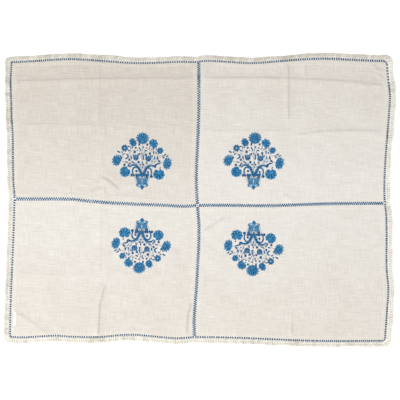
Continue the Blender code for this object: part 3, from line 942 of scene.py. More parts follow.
def band(stitches, points, shade=BAND_SHADE):
    """A curved band of stitches laid across it. A row of points is x, y and the band's width there."""
    path = smooth_path(points, SATIN_PITCH)
    ahead = np.gradient(path[:, :2], axis=0)
    ahead /= np.linalg.norm(ahead, axis=1)[:, None]
    for (x, y, width), (run_x, run_y) in zip(path, ahead):
        half = width * BOLD / 2
        ends = (x + run_y * half, y - run_x * half, x - run_y * half, y + run_x * half)
        stitches.append(Stitch(*ends, SATIN_WIDTH, SATIN_HEIGHT, shade_near(shade, 0.10)))


def stem(stitches, points, shade=STEM_SHADE):
    """A thin stem: single stitches that overlap a little."""
    path = smooth_path(points, STEM_STEP)
    for (x0, y0), (x1, y1) in zip(path, path[1:]):
        over_x, over_y = (x1 - x0) * 0.15, (y1 - y0) * 0.15
        stitches.append(Stitch(x0 - over_x, y0 - over_y, x1 + over_x, y1 + over_y, STEM_WIDTH, STEM_HEIGHT,
                               shade_near(shade)))


# %% [markdown]
# ## The vase of flowers
# A vase with two scrolls, a carnation on top and more carnations, buds, leaves and seeds on thin stems all
# round: a common pattern of old folk embroidery. Both halves are nearly alike, but a hand drew them, so no
# flower is exactly the twin of the other. The places are in millimetres from the middle of the motif.

# %% The parts of the motif
STEMS = (
    ((0, -44), (-1, -8), (0, 30), (1, 62), (2, 84)),
    ((-3, -34), (-14, -14), (-25, 4)),
    ((5, -34), (18, -12), (27, 0)),
    ((-9, -30), (-34, -10), (-52, 14), (-54, 44), (-45, 68)),
    ((10, -30), (40, -12), (55, 12), (54, 42), (45, 64)),
    ((-12, -30), (-46, -6), (-68, 26), (-86, 36), (-104, 42)),
    ((-62, 24), (-60, 42), (-70, 52)),
    ((12, -30), (46, -14), (62, 2), (74, 28), (80, 36)),
    ((62, 6), (80, 20), (98, 24), (110, 22)),
    ((98, 24), (106, 12), (110, 2)),
    ((-60, -10), (-78, -6), (-94, -2)),
    ((66, -2), (84, -6), (98, -10)),
    ((-1, 38), (-8, 50), (-12, 56)),
    ((0, 42), (4, 54), (6, 60)),
    ((-53, 42), (-40, 50), (-30, 58)),
    ((54, 40), (38, 46), (22, 56)),
    ((54, 36), (62, 46), (66, 54)),
    ((-50, 14), (-44, 30), (-36, 38)),
    ((50, 6), (44, 22), (38, 32)),
    ((-2, 12), (-8, 24), (-12, 30)),
    ((1, 8), (10, 20), (15, 28)),
    ((-20, -22), (-36, -10), (-46, -5)),
    ((-36, -14), (-52, -14), (-60, -20)),
    ((74, 28), (66, 34), (60, 36)),
    ((-82, 34), (-90, 26), (-94, 18)),
)
# x, y, length, width and the way it points
LEAVES = (
    (-8, 49, 13, 4.5, 48), (17, 47, 14, 6, -35), (20, 59, 9, 4.5, -50), (44, 52, 9, 4, -30),
    (53, 39, 14, 5, 72), (-60, 48, 9, 5.5, -45), (-60, 66, 11, 5.5, -20), (-108, 42, 15, 6.5, -40),
    (-86, 31, 12, 4, 10), (-50, 15, 15, 6.5, 98), (-46, -4, 10, 4, -30), (-72, -5, 13, 5, -15),
    (-57, -12, 12, 6, 32), (2, -8, 11, 4.5, 92), (5.5, 21, 24, 5.5, 92), (57, 13, 14, 5.5, 84),
    (71, 13, 15, 6.5, 96), (79, -2, 17, 7.5, -58), (58, -4, 9, 4, 20), (106, 28, 14, 5, 18),
    (116, 21, 14, 5.5, 36), (-44, 62, 9, 4, 70), (1, -29, 12, 4.5, 90), (83, -33, 10, 5, 60),
    (-24, -14, 9, 3.5, 130), (24, -14, 9, 3.5, 48), (20, 30, 9, 3.5, 30), (-13, 76, 14, 8, 75),
    (36, 66, 8, 4, 40), (-100, 24, 8, 4, 80), (62, -22, 15, 9.5, 78), (97, 16, 14, 5, -62),
    (-52, 60, 9, 4, 100), (48, 22, 8, 4, 60), (-38, -7, 9, 4, -10), (-76, 44, 8, 4, 120),
    (10, 40, 9, 3.5, 70),
)
# x, y and radius
DOTS = (
    (-29, 60, 4.0), (-12, 58, 3.6), (6, 63, 3.0), (24, 75, 4.6), (53, 57, 3.4), (66, 55, 2.8),
    (-34, 41, 5.4), (36, 34, 5.0), (-13, 31, 4.2), (-3, 33, 2.6), (16, 29, 4.4), (34, 56, 2.6),
    (64, 36, 3.2), (-92, 41, 2.8), (-95, 15, 4.6), (-59, 5, 4.6), (-81, -18, 5.0), (-62, -22, 4.4),
    (-16, -6, 5.0), (20, -8, 3.4), (6, -18, 4.0), (-7, -17, 3.0), (6, 9, 3.4), (-26, -47, 4.8),
    (27, -52, 4.4), (-48, -66, 5.6), (-37, -67, 4.6), (43, -72, 6.0), (-68, -40, 3.2), (38, 24, 2.4),
    (-22, 48, 2.2), (46, -2, 2.6),
)
FLOWERS = (
    Flower(2.5, 104.6, 31, 27, 90, 0.75, 13, 0.24, 300, 180, 0, 0.40),
    Flower(-42.5, 86, 16.6, 20.2, 118, 0.85, 8, 0.30, 230, 180, 0, 0.36),
    Flower(54, 81, 23.3, 19.4, 48, 0.9, 7, 0.32, 210, 180, 0.25, 0.44),
    Flower(83, 46.6, 15.8, 16.8, 60, 0.0, 6, 0.28, 360, 180, 0, 0.40),
    Flower(-116.8, 2.6, 28.5, 23, 165, 0.55, 11, 0.34, 320, 172, 0.2, 0.42),
    Flower(117.4, -13.2, 29.5, 20, -12, 1.0, 8, 0.30, 240, 180, 0.45, 0.46),
    Flower(-78, -49.8, 25.6, 25.6, 228, 0.5, 9, 0.13, 360, 176, 0.42, 0.46),
    Flower(77, -62.0, 28.0, 26.6, 262, 0.5, 8, 0.17, 360, 190, 0.34, 0.46),
)
# Each row of a scroll is x, y and the band's width there
SCROLLS = (
    ((-2, -62, 13), (-9, -47, 14), (-16, -32, 11.5), (-27, -22, 9), (-39, -18.5, 8), (-51, -22.5, 7),
     (-57, -31, 3)),
    ((-20, -33, 6), (-33, -29, 7), (-41.5, -36, 7), (-44, -49, 6.5), (-41, -61, 6), (-37, -68, 4)),
    ((7, -62, 13), (13, -47, 14), (20, -33, 11), (31, -25, 9), (45, -22, 8), (55, -25, 10), (62, -31, 6)),
    ((23, -34, 6), (35, -33.5, 7), (41.5, -42, 7), (43.5, -53, 6.5), (41, -64, 6), (40, -69, 4)),
    ((62, -19, 6), (73, -13, 7), (83, -13, 4)),
    ((-71, 31, 6), (-64, 22, 7), (-68, 13, 7), (-77, 10, 4.5)),
)


def rows_across(stitches, top, bottom, inner, outer, shade):
    """Level rows of stitches on both sides of the middle. inner and outer are (at the top, at the bottom)."""
    count = round((top - bottom) / SATIN_PITCH)
    for row in range(count):
        depth = (row + 0.5) / count
        near, far = (pair[0] + (pair[1] - pair[0]) * depth for pair in (inner, outer))
        y = top + (bottom - top) * depth
        marks = np.linspace(near, far, max(2, math.ceil((far - near) / LONGEST_SATIN) + 1))
        for side in (-1, 1):
            for first, last in zip(marks, marks[1:]):
                stitches.append(Stitch(side * (first - 0.4), y, side * (last + 0.4), y + 0.2, SATIN_WIDTH,
                                       SATIN_HEIGHT, shade_near(shade, 0.16)))


def lozenge(stitches, top, height, half_width, shade):
    """A lozenge of level stitches, widest a third of the way down."""
    for row in range(LOZENGE_ROWS):
        y = top - height * row / (LOZENGE_ROWS - 1)
        half = half_width * (1 - abs(row - 5) / 9.2) ** 0.8
        stitches.append(Stitch(-half, y, half, y, SATIN_WIDTH * 1.15, SATIN_HEIGHT, shade_near(shade, 0.18)))


# The blocks of level rows: top and bottom, inner edge and outer edge (at the top, at the bottom), and shade
BLOCKS = (
    (-72, -79, (0, 0), (4.5, 4), 0.35), (-74, -79, (9, 9), (12.5, 12.5), 0.45),
    (-66, -81, (16.5, 15), (31, 29), 0.20), (-80, -86, (0.6, 0.6), (28, 27), 0.50),
    (-86, -99, (1.6, 1.6), (27, 23.5), 0.62), (-99, -105, (0.6, 0.6), (23.5, 21), 0.36),
    (-105, -114, (0.4, 0.4), (12, 9), 0.95),
)


def vase(stitches):
    """The vase: a curved mouth, two corner blocks, a body in two halves, and a foot with two rings."""
    band(stitches, ((-31, -62, 9), (-17, -65, 11), (1, -67.5, 12), (18, -65, 11), (32, -62, 9)))
    for block in BLOCKS:
        rows_across(stitches, *block)
    for side in (-1, 1):
        stem(stitches, ((side * 37, -68), (side * 32, -86), (side * 25, -103)), 0.42)
        ring = ((11, -108, 6), (18, -106, 7), (25, -109, 7), (22, -116, 6), (12, -116, 5))
        band(stitches, [(side * x, y, width) for x, y, width in ring], 0.50)
    lozenge(stitches, -113.5, 18, 11.5, 0.44)


def small_flower(stitches, x, y, radius, petals):
    """A flower of separate little petals round an open heart."""
    for i in range(petals):
        turn = 2 * math.pi * i / petals + 0.3
        leaf(stitches, x + radius * 0.64 * math.cos(turn), y + radius * 0.64 * math.sin(turn),
             radius * 0.80, radius * 0.66, math.degrees(turn), 0.38)


def vase_of_flowers():
    """All stitches of one motif."""
    stitches = []
    for points in STEMS:
        stem(stitches, points)
    for x, y, length, width, facing in LEAVES:
        leaf(stitches, x, y, length, width, facing)
    for x, y, radius in DOTS:
        dot(stitches, x, y, radius)
    for points in SCROLLS:
        band(stitches, points)
    vase(stitches)
    for bloom in FLOWERS:
        flower(stitches, bloom)
    small_flower(stitches, -80, 59, 15, 8)
    tulip(stitches, -28.4, 16, 30.5, 26, 96)
    tulip(stitches, 28.8, 10.7, 30, 28, 82)
    return stitches


motif_count = len(vase_of_flowers())
print(f"one motif: {motif_count} stitches")

# %% [markdown]
# ## Four motifs
# The upper two stand upright and the lower two upside down, so that every side of the table sees a vase the
# right way up. Each is stitched anew, so no two have the same strands.

# %% Embroider the panels
# Stitches sink a little into the cloth
STITCH_SINK = 0.12
# Panel, the motif's middle in real millimetres, its turn, its size across and along, and how it leans
Motif = namedtuple("Motif", "corner x y turn wide high lean")
MOTIFS = (
    Motif("nw", -267.4, 179.3, 0.0, 1.0, 1.0, 0.0),
    Motif("ne", 247.3, 179.6, 0.5, 1.02, 1.005, 0.029),
    Motif("sw", -273.0, -211.8, 180.0, 1.0, 0.976, 0.046),
    Motif("se", 245.1, -224.4, 179.0, 1.005, 0.975, 0.0),
)


def embroider(motif):
    """The stitches of a motif, laid on its panel."""
    table = np.array(vase_of_flowers(), float)
    turn = math.radians(motif.turn)
    places = []
    for x, y in ((table[:, 0], table[:, 1]), (table[:, 2], table[:, 3])):
        x, y = x * motif.wide + y * motif.lean, y * motif.high
        real_x = motif.x + x * math.cos(turn) - y * math.sin(turn)
        real_y = motif.y + x * math.sin(turn) + y * math.cos(turn)
        height = cloth_top(PANELS[motif.corner], real_x, real_y) - STITCH_SINK
        places.append(np.stack((real_x, real_y, height), axis=1))
    strands = np.hstack((places[0], places[1], table[:, 4:7]))
    piece = lay_strands(f"embroidery_{motif.corner}", strands, BLUE)
    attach(piece, "root")
    return piece


embroideries = {motif.corner: embroider(motif) for motif in MOTIFS}

# %% [markdown]
# ## Rows beside the hems
# The trims are described beside their line: a distance along it and one across it. One helper turns such
# strands into real places and sets them at their height over the folds.

# %% Strands beside a line
def trim_strands(rows):
    """Strands from rows of layout x, y and height over the fold at both ends, width, height and shade."""
    table = np.array(rows, float)
    places = []
    for x, y, lift in ((table[:, 0], table[:, 1], table[:, 2]), (table[:, 3], table[:, 4], table[:, 5])):
        real_x, real_y = lay(x, y)
        places.append(np.stack((real_x, real_y, fold_height(x, y) + lift), axis=1))
    return np.hstack((places[0], places[1], table[:, 6:9]))


def beside(side, along, out):
    """A point of the layout beside one edge of the cloth: along the edge, and out from its row of bars."""
    if side == "north":
        return (along, NORTH_BARS.place + out)
    if side == "south":
        return (along, SOUTH_BARS.place - out)
    if side == "west":
        return (WEST_BARS.place - out, along)
    return (EAST_BARS.place + out, along)


OUTWARD = {"north": (0, 1), "south": (0, -1), "west": (-1, 0), "east": (1, 0)}
SIDE_ENDS = {
    "north": (WEST_BARS.place, EAST_BARS.place), "south": (WEST_BARS.place, EAST_BARS.place),
    "west": (SOUTH_BARS.place, NORTH_BARS.place), "east": (SOUTH_BARS.place, NORTH_BARS.place),
}

# %% [markdown]
# ## The openwork
# The panels are joined by a zigzag of blue thread, worked from hem to hem over open air, with a small knot
# at each turn. Every leg is a doubled thread, and every knot four turns of it.

# %% Work the openwork
# How far apart the knots of one side stand, as counted along each arm
OPENWORK_PITCH = {"north": 10.4, "south": 10.1, "west": 10.6, "east": 9.6}
LEG_WIDTH = 2.0
LEG_SPREAD = 1.0
KNOT_STRANDS = (-2.2, -0.75, 0.75, 2.2)
# A knot reaches over its hem and back along its legs
KNOT_OVER_HEM = 1.3
KNOT_ON_LEGS = 3.2
# Room for the wheel at the crossing
KNOT_ROOM = 7.0
# The thread's shade, and how it drifts along an arm: how much, and how fast
LEG_SHADE = 0.46
LEG_DRIFT = ((0.15, 0.21), (0.12, 0.9))


def openwork_rows(arm, start, end, place, upright):
    """Legs and knots of one arm of the cross."""
    rows = []
    count = round((end - start) / (OPENWORK_PITCH[arm] / 2))
    step = (end - start) / count

    def put(along0, across0, lift0, along1, across1, lift1, width, height, shade):
        first = (place + across0, along0) if upright else (along0, place + across0)
        last = (place + across1, along1) if upright else (along1, place + across1)
        rows.append((*first, lift0, *last, lift1, width, height, shade))

    half = OPENWORK_WIDTH / 2 + 0.4
    for k in range(count):
        side = 1 if k % 2 else -1
        along = start + k * step
        drifted = LEG_SHADE + sum(depth * math.sin(k * speed) for depth, speed in LEG_DRIFT)
        for spread in (-LEG_SPREAD, LEG_SPREAD):
            drift = dice.normal(0, 0.18)
            put(along + spread + drift, side * half, 0.9, along + step + spread + drift, -side * half, 0.9,
                LEG_WIDTH, 1.0, shade_near(drifted, 0.08))
        reach = half + KNOT_OVER_HEM + dice.normal(0, 0.2)
        for spread in KNOT_STRANDS:
            put(along + spread * 0.7, side * (half - KNOT_ON_LEGS), 1.25,
                along + spread, side * reach, HEM_THICK - 0.25, 1.9, 0.9, shade_near(0.30, 0.05))
    return rows


ARMS = {
    "north": (CROSS_SEAM.place + KNOT_ROOM, NORTH_EDGE, MIDDLE_SEAM.place, True),
    "south": (SOUTH_EDGE, CROSS_SEAM.place - KNOT_ROOM, MIDDLE_SEAM.place, True),
    "west": (WEST_EDGE + 2, MIDDLE_SEAM.place - KNOT_ROOM, CROSS_SEAM.place, False),
    "east": (MIDDLE_SEAM.place + KNOT_ROOM, EAST_EDGE - 2.5, CROSS_SEAM.place, False),
}
for arm, (start, end, place, upright) in ARMS.items():
    rows = openwork_rows(arm, start, end, place, upright)
    piece = lay_strands(f"openwork_thread_{arm}", trim_strands(rows), DEEP)
    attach(piece, "root")
    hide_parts(f"openwork_{arm}")

# %% [markdown]
# ## The wheel at the crossing
# Where the four arms meet stands a small wheel: a dark eye with rounds of pale thread about it. The end of
# each arm is wrapped in blue thread where it meets the wheel.

# %% Weave the wheel
# Radius, how many short strands go round, and their shade: a dark eye, then pale rounds
ROUNDS = ((0.8, 6, 0.0), (1.8, 8, 0.0), (3.6, 11, 1.0), (5.0, 14, 1.0), (6.3, 18, 1.0))
# How far out the turns stand that wrap the end of each arm
WRAPS = (8.0, 9.3, 10.6)


def wheel_rows():
    """The dark eye, the pale rounds and the four wrapped ends of the arms, in layout millimetres."""
    rows = []
    x, y = MIDDLE_SEAM.place, CROSS_SEAM.place
    for radius, count, shade in ROUNDS:
        for i in range(count):
            a0, a1 = 2 * math.pi * (i - 0.15) / count, 2 * math.pi * (i + 1.15) / count
            rows.append((x + radius * math.cos(a0), y + radius * math.sin(a0), 1.0,
                         x + radius * math.cos(a1), y + radius * math.sin(a1), 1.0, 1.6, 1.2, shade))
    for out_x, out_y in OUTWARD.values():
        for distance in WRAPS:
            across = 4.6 + (distance - WRAPS[0]) * 0.4
            rows.append((x + out_x * distance - out_y * across, y + out_y * distance + out_x * across, 1.3,
                         x + out_x * distance + out_y * across, y + out_y * distance - out_x * across, 1.3,
                         1.7, 1.2, 0.08))
    return rows


wheel_table = trim_strands(wheel_rows())
spokes = lay_strands("wheel_spokes", wheel_table[wheel_table[:, 8] < 0.5], NAVY)
wheel = lay_strands("wheel_rounds", wheel_table[wheel_table[:, 8] > 0.5], WHITE)
for piece in (spokes, wheel):
    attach(piece, "root")
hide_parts("knot")

# %% [markdown]
# ## The row of bars
# Between the outer hems and the edging stands a ladder of short blue bars. Each bar is four turns of thread
# laid side by side, and the table shows between the bars.

# %% Work the bars
# How far apart the bars stand, on both sides of the openwork that meets the row
BARS_PITCH = {"north": (9.9, 10.3), "south": (10.3, 10.0), "west": (10.5, 9.8), "east": (9.6, 10.3)}
MEETS = {
    "north": MIDDLE_SEAM.place, "south": MIDDLE_SEAM.place,
    "west": CROSS_SEAM.place, "east": CROSS_SEAM.place,
}
MEETING_ROOM = {"north": 0.0, "south": 1.0, "west": 1.5, "east": 2.0}
BAR_STRANDS = 4
BAR_STRAND_WIDTH = 1.95
BAR_STRAND_PITCH = 1.75
# The bars' shade, and how it drifts along a side: how much, and how fast
BAR_SHADE = 0.34
BAR_DRIFT = ((0.10, 0.37), (0.08, 1.3))
# The two east corners lie gathered and cut short, over so many millimetres
CORNER_CUTS = {"north": 18.0, "south": 13.0}


def corner_cut(side, along):
    """How far a trim is drawn in beside the two east corners."""
    if side == "west":
        return 0.0
    start, end = SIDE_ENDS[side]
    if side == "east":
        return 0.5 * max(0.0, CORNER_CUTS["north"] - (end - along), CORNER_CUTS["south"] - (along - start))
    return 0.5 * max(0.0, CORNER_CUTS[side] - (end - along))


def bar_middles(side):
    """Where the bars of one side stand, with a little room where the openwork meets them."""
    start, end = SIDE_ENDS[side]
    before, after = MEETS[side] - MEETING_ROOM[side], MEETS[side] + MEETING_ROOM[side]
    middles = []
    for low, high, pitch in ((start, before, BARS_PITCH[side][0]), (after, end, BARS_PITCH[side][1])):
        count = round((high - low) / pitch)
        middles += [low + (high - low) * (k + 0.5) / count for k in range(count)]
    return middles


def bars_rows(side):
    """The bars along one side of the cloth."""
    rows = []
    for k, place in enumerate(bar_middles(side)):
        middle = place + dice.normal(0, 0.25)
        drifted = BAR_SHADE + sum(depth * math.sin(k * speed) for depth, speed in BAR_DRIFT)
        shade = drifted + dice.normal(0, 0.06)
        lean = dice.normal(0, 0.35)
        inward = corner_cut(side, middle)
        for strand in range(BAR_STRANDS):
            along = middle + (strand - (BAR_STRANDS - 1) / 2) * BAR_STRAND_PITCH
            first = beside(side, along - lean, -BARS_WIDTH / 2 - 0.5 - inward)
            last = beside(side, along + lean, BARS_WIDTH / 2 + 0.2 - inward)
            rows.append((*first, 1.1, *last, 1.0, BAR_STRAND_WIDTH, 1.0, float(np.clip(shade, 0, 1))))
    return rows


for side in SIDE_ENDS:
    piece = lay_strands(f"bars_thread_{side}", trim_strands(bars_rows(side)), NAVY)
    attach(piece, "root")
    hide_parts(f"bars_{side}")

# %% [markdown]
# ## The crochet edging
# The edging is worked outwards from a chain: a row of upright stitches, a second chain, a second row, and a
# rim of small shells. Round a corner its stitches fan out from the corner point, which rounds the rim.

# %% Crochet the edging
EDGING_REACH = {"north": 25.0, "south": 27.5, "west": 27.5, "east": 27.0}
CROCHET_PITCH = 3.55
SHELL_STITCHES = 3
GATHER = 0.75
Nick = namedtuple("Nick", "side along depth half_length")
# Dents and, where the depth is below nought, bulges of the rim
NICKS = (
    Nick("east", -14, 7.0, 26), Nick("east", 603, 4.0, 22), Nick("east", 555, -3.0, 25),
    Nick("east", 240, 4.5, 90), Nick("east", -540, -3.5, 110), Nick("west", -6, 2.5, 40),
    Nick("west", 640, -5.5, 18), Nick("west", 585, 2.5, 60), Nick("west", -630, -3.0, 50),
    Nick("south", -20, 2.0, 60), Nick("south", 700, 3.0, 100), Nick("north", 842, -3.0, 20),
    Nick("north", 405, 3.5, 110), Nick("north", -380, -4.5, 80), Nick("north", -866, 2.5, 30),
)
# The south-west corner is squarer than the rest: its rim reaches so many millimetres further
SQUARED = {("south", "west"): 4.0, ("west", "south"): 4.0}
# Two cords pull the east edging in where the openwork meets it: along and out, at both ends. Each is three
# strands that lie so far from its middle
JOIN_CORDS = ((-22, -3, -13, 13), (-34, 1, -52, 20))
CORD_STRANDS = (-1.2, 0.0, 1.2)
# A row of uprights: foot and head as shares of the way to the rim, shade, and which one of a shell gets
# painted light
UPRIGHTS = ((0.03, 0.43, 0.58, 1), (0.46, 0.78, 0.48, 0))
# Painted light on that upright of each shell, and painted shade on the others
SHELL_PAINTED_LIGHT, SHELL_PAINTED_SHADE = 0.24, -0.12
# A chain: its share of the way to the rim, width, shade and height
CHAINS = ((-0.03, 2.2, 0.74, 0.9), (0.445, 2.3, 0.46, 0.5), (0.78, 2.2, 0.40, 0.5))
SHELL_TURNS = (-80, -40, 0, 40, 80)
# Crochet grows paler and duller in patches: each post shares in its neighbours' shade
PATCH_SHARES = (0.5, 0.8, 1.0, 0.8, 0.5)
# How much paler or darker the crochet of each side is painted, as painted light and shade: darker on the
# north, paler on the east
SIDE_PAINTED_LIGHT = {"north": -0.16, "south": 0.02, "west": -0.08, "east": 0.30}
Post = namedtuple("Post", "x y out_x out_y reach")
NEIGHBOURS = {"north": ("west", "east"), "south": ("west", "east"), "west": ("south", "north"),
              "east": ("south", "north")}


def nick_depth(side, along):
    """How far the rim is dented at a place along a side."""
    here = [nick for nick in NICKS if nick.side == side]
    return sum(nick.depth * max(0.0, 1 - abs(along - nick.along) / nick.half_length) for nick in here)


def edging_posts(side):
    """Where the stitches of one side stand, the way they point and how far the rim is, corner to corner."""
    start, end = SIDE_ENDS[side]
    out = OUTWARD[side]
    posts = []
    count = round((end - start + 2 * TO_BARS) / CROCHET_PITCH / SHELL_STITCHES) * SHELL_STITCHES
    pitch = (end - start + 2 * TO_BARS) / count
    for k in range(count + 1):
        along = start - TO_BARS + k * pitch
        x, y = beside(side, along, TO_BARS)
        nick = nick_depth(side, along)
        inward = corner_cut(side, along)
        x, y = x - out[0] * inward, y - out[1] * inward
        ruffle = 0.8 * math.sin(along / 23.0) + 0.6 * math.sin(along / 9.7 + 1.0)
        posts.append(Post(x, y, *out, EDGING_REACH[side] - TO_BARS - nick + inward + ruffle))
    first_side, last_side = NEIGHBOURS[side]
    for end_side, place, at_start in ((first_side, posts[0], True), (last_side, posts[-1], False)):
        fan = []
        away = OUTWARD[end_side]
        corner = beside(side, start - TO_BARS if at_start else end + TO_BARS, TO_BARS)
        inward = corner_cut(end_side, corner[1] if end_side in ("west", "east") else corner[0])
        reach = (EDGING_REACH[side] + EDGING_REACH[end_side]) / 2 - TO_BARS + 0.8 * inward
        reach += SQUARED.get((side, end_side), 0.0)
        for step in range(1, SHELL_STITCHES + 1):
            angle = math.radians(45) * step / SHELL_STITCHES
            direction = [out[i] * math.cos(angle) + away[i] * math.sin(angle) for i in (0, 1)]
            share = step / SHELL_STITCHES
            x, y = place.x - away[0] * inward * share, place.y - away[1] * inward * share
            fan.append(Post(x, y, *direction, place.reach * (1 - share) + reach * share))
        posts = fan[::-1] + posts if at_start else posts + fan
    return posts


def at(post, share, shift=0.0):
    """A point of the layout on a post: a share of the way to the rim, and a shift along the edge."""
    distance = share * post.reach
    return (post.x + post.out_x * distance - post.out_y * shift,
            post.y + post.out_y * distance + post.out_x * shift)


def edging_rows(side):
    """Chains, upright stitches and shells of one side."""
    rows = []
    posts = edging_posts(side)
    uneven = dice.normal(0, 0.08, len(posts) + len(PATCH_SHARES) - 1)
    # Each side's painted light and shade, with random patches of tone
    patches = SIDE_PAINTED_LIGHT[side] + np.convolve(uneven, PATCH_SHARES, "valid")
    for k, post in enumerate(posts):
        lean = dice.normal(0, 0.25)
        gather = (1 - k % SHELL_STITCHES) * GATHER
        for low, high, shade, bright_one in UPRIGHTS:
            # Painted light on one upright of each shell, painted shade on the others
            shade = shade + (SHELL_PAINTED_LIGHT if k % SHELL_STITCHES == bright_one else SHELL_PAINTED_SHADE)
            foot, head = at(post, low, gather * 0.6 - lean), at(post, high, gather + lean)
            rows.append((*foot, 0.5, *head, 0.6, 2.9, 1.3, shade_near(shade + patches[k], 0.10)))
    for k, (first, last) in enumerate(zip(posts, posts[1:])):
        for share, width, shade, lift in CHAINS:
            rows.append((*at(first, share), lift, *at(last, share), lift, width, 1.25,
                         shade_near(shade + patches[k] * 0.8, 0.10)))
    for k in range(0, len(posts) - SHELL_STITCHES, SHELL_STITCHES):
        group = posts[k:k + SHELL_STITCHES + 1]
        middle = Post(*[(a + b) / 2 for a, b in zip(group[0], group[-1])])
        half = math.dist(at(group[0], 0.9), at(group[-1], 0.9)) / 2
        rim = []
        for turn in SHELL_TURNS:
            angle = math.radians(turn)
            share = 0.80 + 0.19 * math.cos(angle) + dice.normal(0, 0.008)
            rim.append(at(middle, share, half * 0.98 * math.sin(angle)))
            rows.append((*at(middle, 0.77, half * 0.3 * math.sin(angle)), 0.5, *rim[-1], 0.3, 2.8, 1.1,
                         shade_near(0.42 + patches[k], 0.10)))
        for tip, next_tip in zip(rim, rim[1:]):
            rows.append((*tip, 0.2, *next_tip, 0.2, 1.8, 0.9, shade_near(0.26 + patches[k], 0.12)))
    for along, out, last_along, last_out in JOIN_CORDS if side == "east" else ():
        for shift in CORD_STRANDS:
            first = beside(side, along + shift, out)
            last = beside(side, last_along + shift, last_out)
            rows.append((*first, 1.0, *last, 0.6, 1.7, 1.3, shade_near(0.0, 0.04)))
    return rows


for side in SIDE_ENDS:
    piece = lay_strands(f"edging_crochet_{side}", trim_strands(edging_rows(side)), CREAM)
    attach(piece, "root")
    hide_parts(f"edging_{side}")

# %% [markdown]
# ## Hemstitching
# A hem is held by a row of tiny stitches along its inner edge. Beside the openwork every second one is
# longer, so that the row shows as a line of ticks just inside the hem.

# %% Stitch the hems
HEMSTITCH_PITCH = 5.2
SEAMS = (MIDDLE_SEAM.place, CROSS_SEAM.place)
SEAM_EDGES = [place + side * TO_OPENWORK for place in SEAMS for side in (-1, 1)]
# How far a tick reaches past the hem, and its width
LONG_TICK = (3.4, 1.9)
SHORT_TICK = (1.8, 1.1)
TICK_ON_HEM = 1.6
# The cord that is left beside the bars where the seam is loose: strands so far from them, in pieces so long
LOOSE_CORD = (0.4, 2.0, 3.6, 5.2, 6.8, 8.4)
LOOSE_CORD_STEP = 6.0
LOOSE_CORD_PIECE = 7.2


def hemstitch_rows(corner):
    """The ticks along the inner edges of a panel's four hems, and the cord left where the seam is loose."""
    panel = PANELS[corner]
    rows = []
    if corner == "sw":
        low, high = LOOSE_SEAM[0] - LOOSE_CORD_STEP, LOOSE_SEAM[1] + LOOSE_CORD_STEP
        for along in np.arange(low, high, LOOSE_CORD_STEP):
            for out in LOOSE_CORD:
                x = panel.west + out
                rows.append((x, along, 0.6, x, along + LOOSE_CORD_PIECE, 0.6, 1.9, 1.2,
                             shade_near(0.70, 0.1)))
    for direction in ("upright", "level"):
        low, high = (panel.south, panel.north) if direction == "upright" else (panel.west, panel.east)
        edges = (panel.west, panel.east) if direction == "upright" else (panel.south, panel.north)
        start, end = low + HEM_WIDTH, high - HEM_WIDTH
        count = round((end - start) / HEMSTITCH_PITCH)
        for edge, inward in ((edges[0], 1), (edges[1], -1)):
            for k in range(count):
                along = start + (k + 0.5) * (end - start) / count
                if corner == "sw" and edge == panel.west and LOOSE_SEAM[0] < along < LOOSE_SEAM[1]:
                    continue
                reach, width = LONG_TICK if k % 2 and edge in SEAM_EDGES else SHORT_TICK
                first = (edge + inward * (HEM_WIDTH - TICK_ON_HEM), along)
                last = (edge + inward * (HEM_WIDTH + reach), along)
                if direction == "level":
                    first, last = first[::-1], last[::-1]
                rows.append((*first, HEM_THICK - 0.15, *last, LINEN_THICK - 0.1, width, 0.6,
                             shade_near(0.75, 0.1)))
    return rows


for corner in PANELS:
    piece = lay_strands(f"hemstitch_{corner}", trim_strands(hemstitch_rows(corner)), CREAM)
    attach(piece, "root")

# %% [markdown]

# %% [markdown]
# ## The table, the light and the camera
# The cloth lies on a plain pale floor. Most of the light is soft and comes from all round. One large light
# comes in at a slant from the south-west, so that folds and threads show. The camera hangs far above with a
# long lens, so the cloth is seen square on.

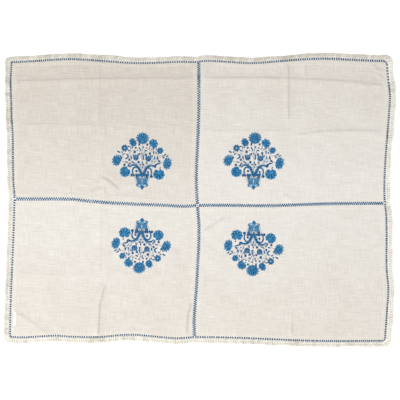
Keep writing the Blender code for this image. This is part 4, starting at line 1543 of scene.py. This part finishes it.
# %% Floor
clear_selection()
bpy.ops.mesh.primitive_plane_add(size=14, location=(0, 0, -0.0002))
floor = bpy.context.object
floor.name = "floor"
floor_material, floor_tree, floor_shader = new_material("pale floor", 0.9)
floor_shader.inputs["Base Color"].default_value = (0.82, 0.82, 0.825, 1.0)
floor_shader.inputs["Specular IOR Level"].default_value = 0.0
floor.data.materials.append(floor_material)

# %% Light
world = bpy.data.worlds.new("soft studio")
world.use_nodes = True
world.node_tree.nodes["Background"].inputs["Color"].default_value = (1.0, 0.99, 0.975, 1.0)
world.node_tree.nodes["Background"].inputs["Strength"].default_value = 0.93
bpy.context.scene.world = world


def add_softbox(name, place, size, power):
    """A square area light that looks at the middle of the cloth."""
    light = bpy.data.lights.new(name, "AREA")
    light.size = size
    light.energy = power
    lamp = bpy.data.objects.new(name, light)
    bpy.context.scene.collection.objects.link(lamp)
    lamp.location = place
    tilt = math.acos(place[2] / np.linalg.norm(place))
    lamp.rotation_euler = (tilt, 0, math.atan2(place[1], place[0]) + math.pi / 2)
    return lamp


add_softbox("south-west light", (-2.7, -4.5, 4.8), 2.0, 440)

# %% Camera
PHOTO_PIXELS = 400
PIXEL_MM = 4.6
CAMERA_HEIGHT = 9.0
CAMERA_X = -0.0009
CAMERA_Y = -0.0007
camera_data = bpy.data.cameras.new("camera")
camera_data.lens = camera_data.sensor_width * CAMERA_HEIGHT / (PHOTO_PIXELS * PIXEL_MM * MM)
camera = bpy.data.objects.new("camera", camera_data)
camera.location = (CAMERA_X, CAMERA_Y, CAMERA_HEIGHT)
bpy.context.scene.collection.objects.link(camera)
bpy.context.scene.camera = camera
bpy.context.scene.view_settings.view_transform = "Standard"
# A denoiser takes rows of stitches two pixels apart for noise and smears them
bpy.context.scene.cycles.use_denoising = False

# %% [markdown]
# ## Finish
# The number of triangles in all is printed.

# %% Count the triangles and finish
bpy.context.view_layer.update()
meshes = [obj.data for obj in bpy.context.scene.objects if obj.type == "MESH"]
total = sum(len(mesh.loops) - 2 * len(mesh.polygons) for mesh in meshes)
print(total, "triangles in all")
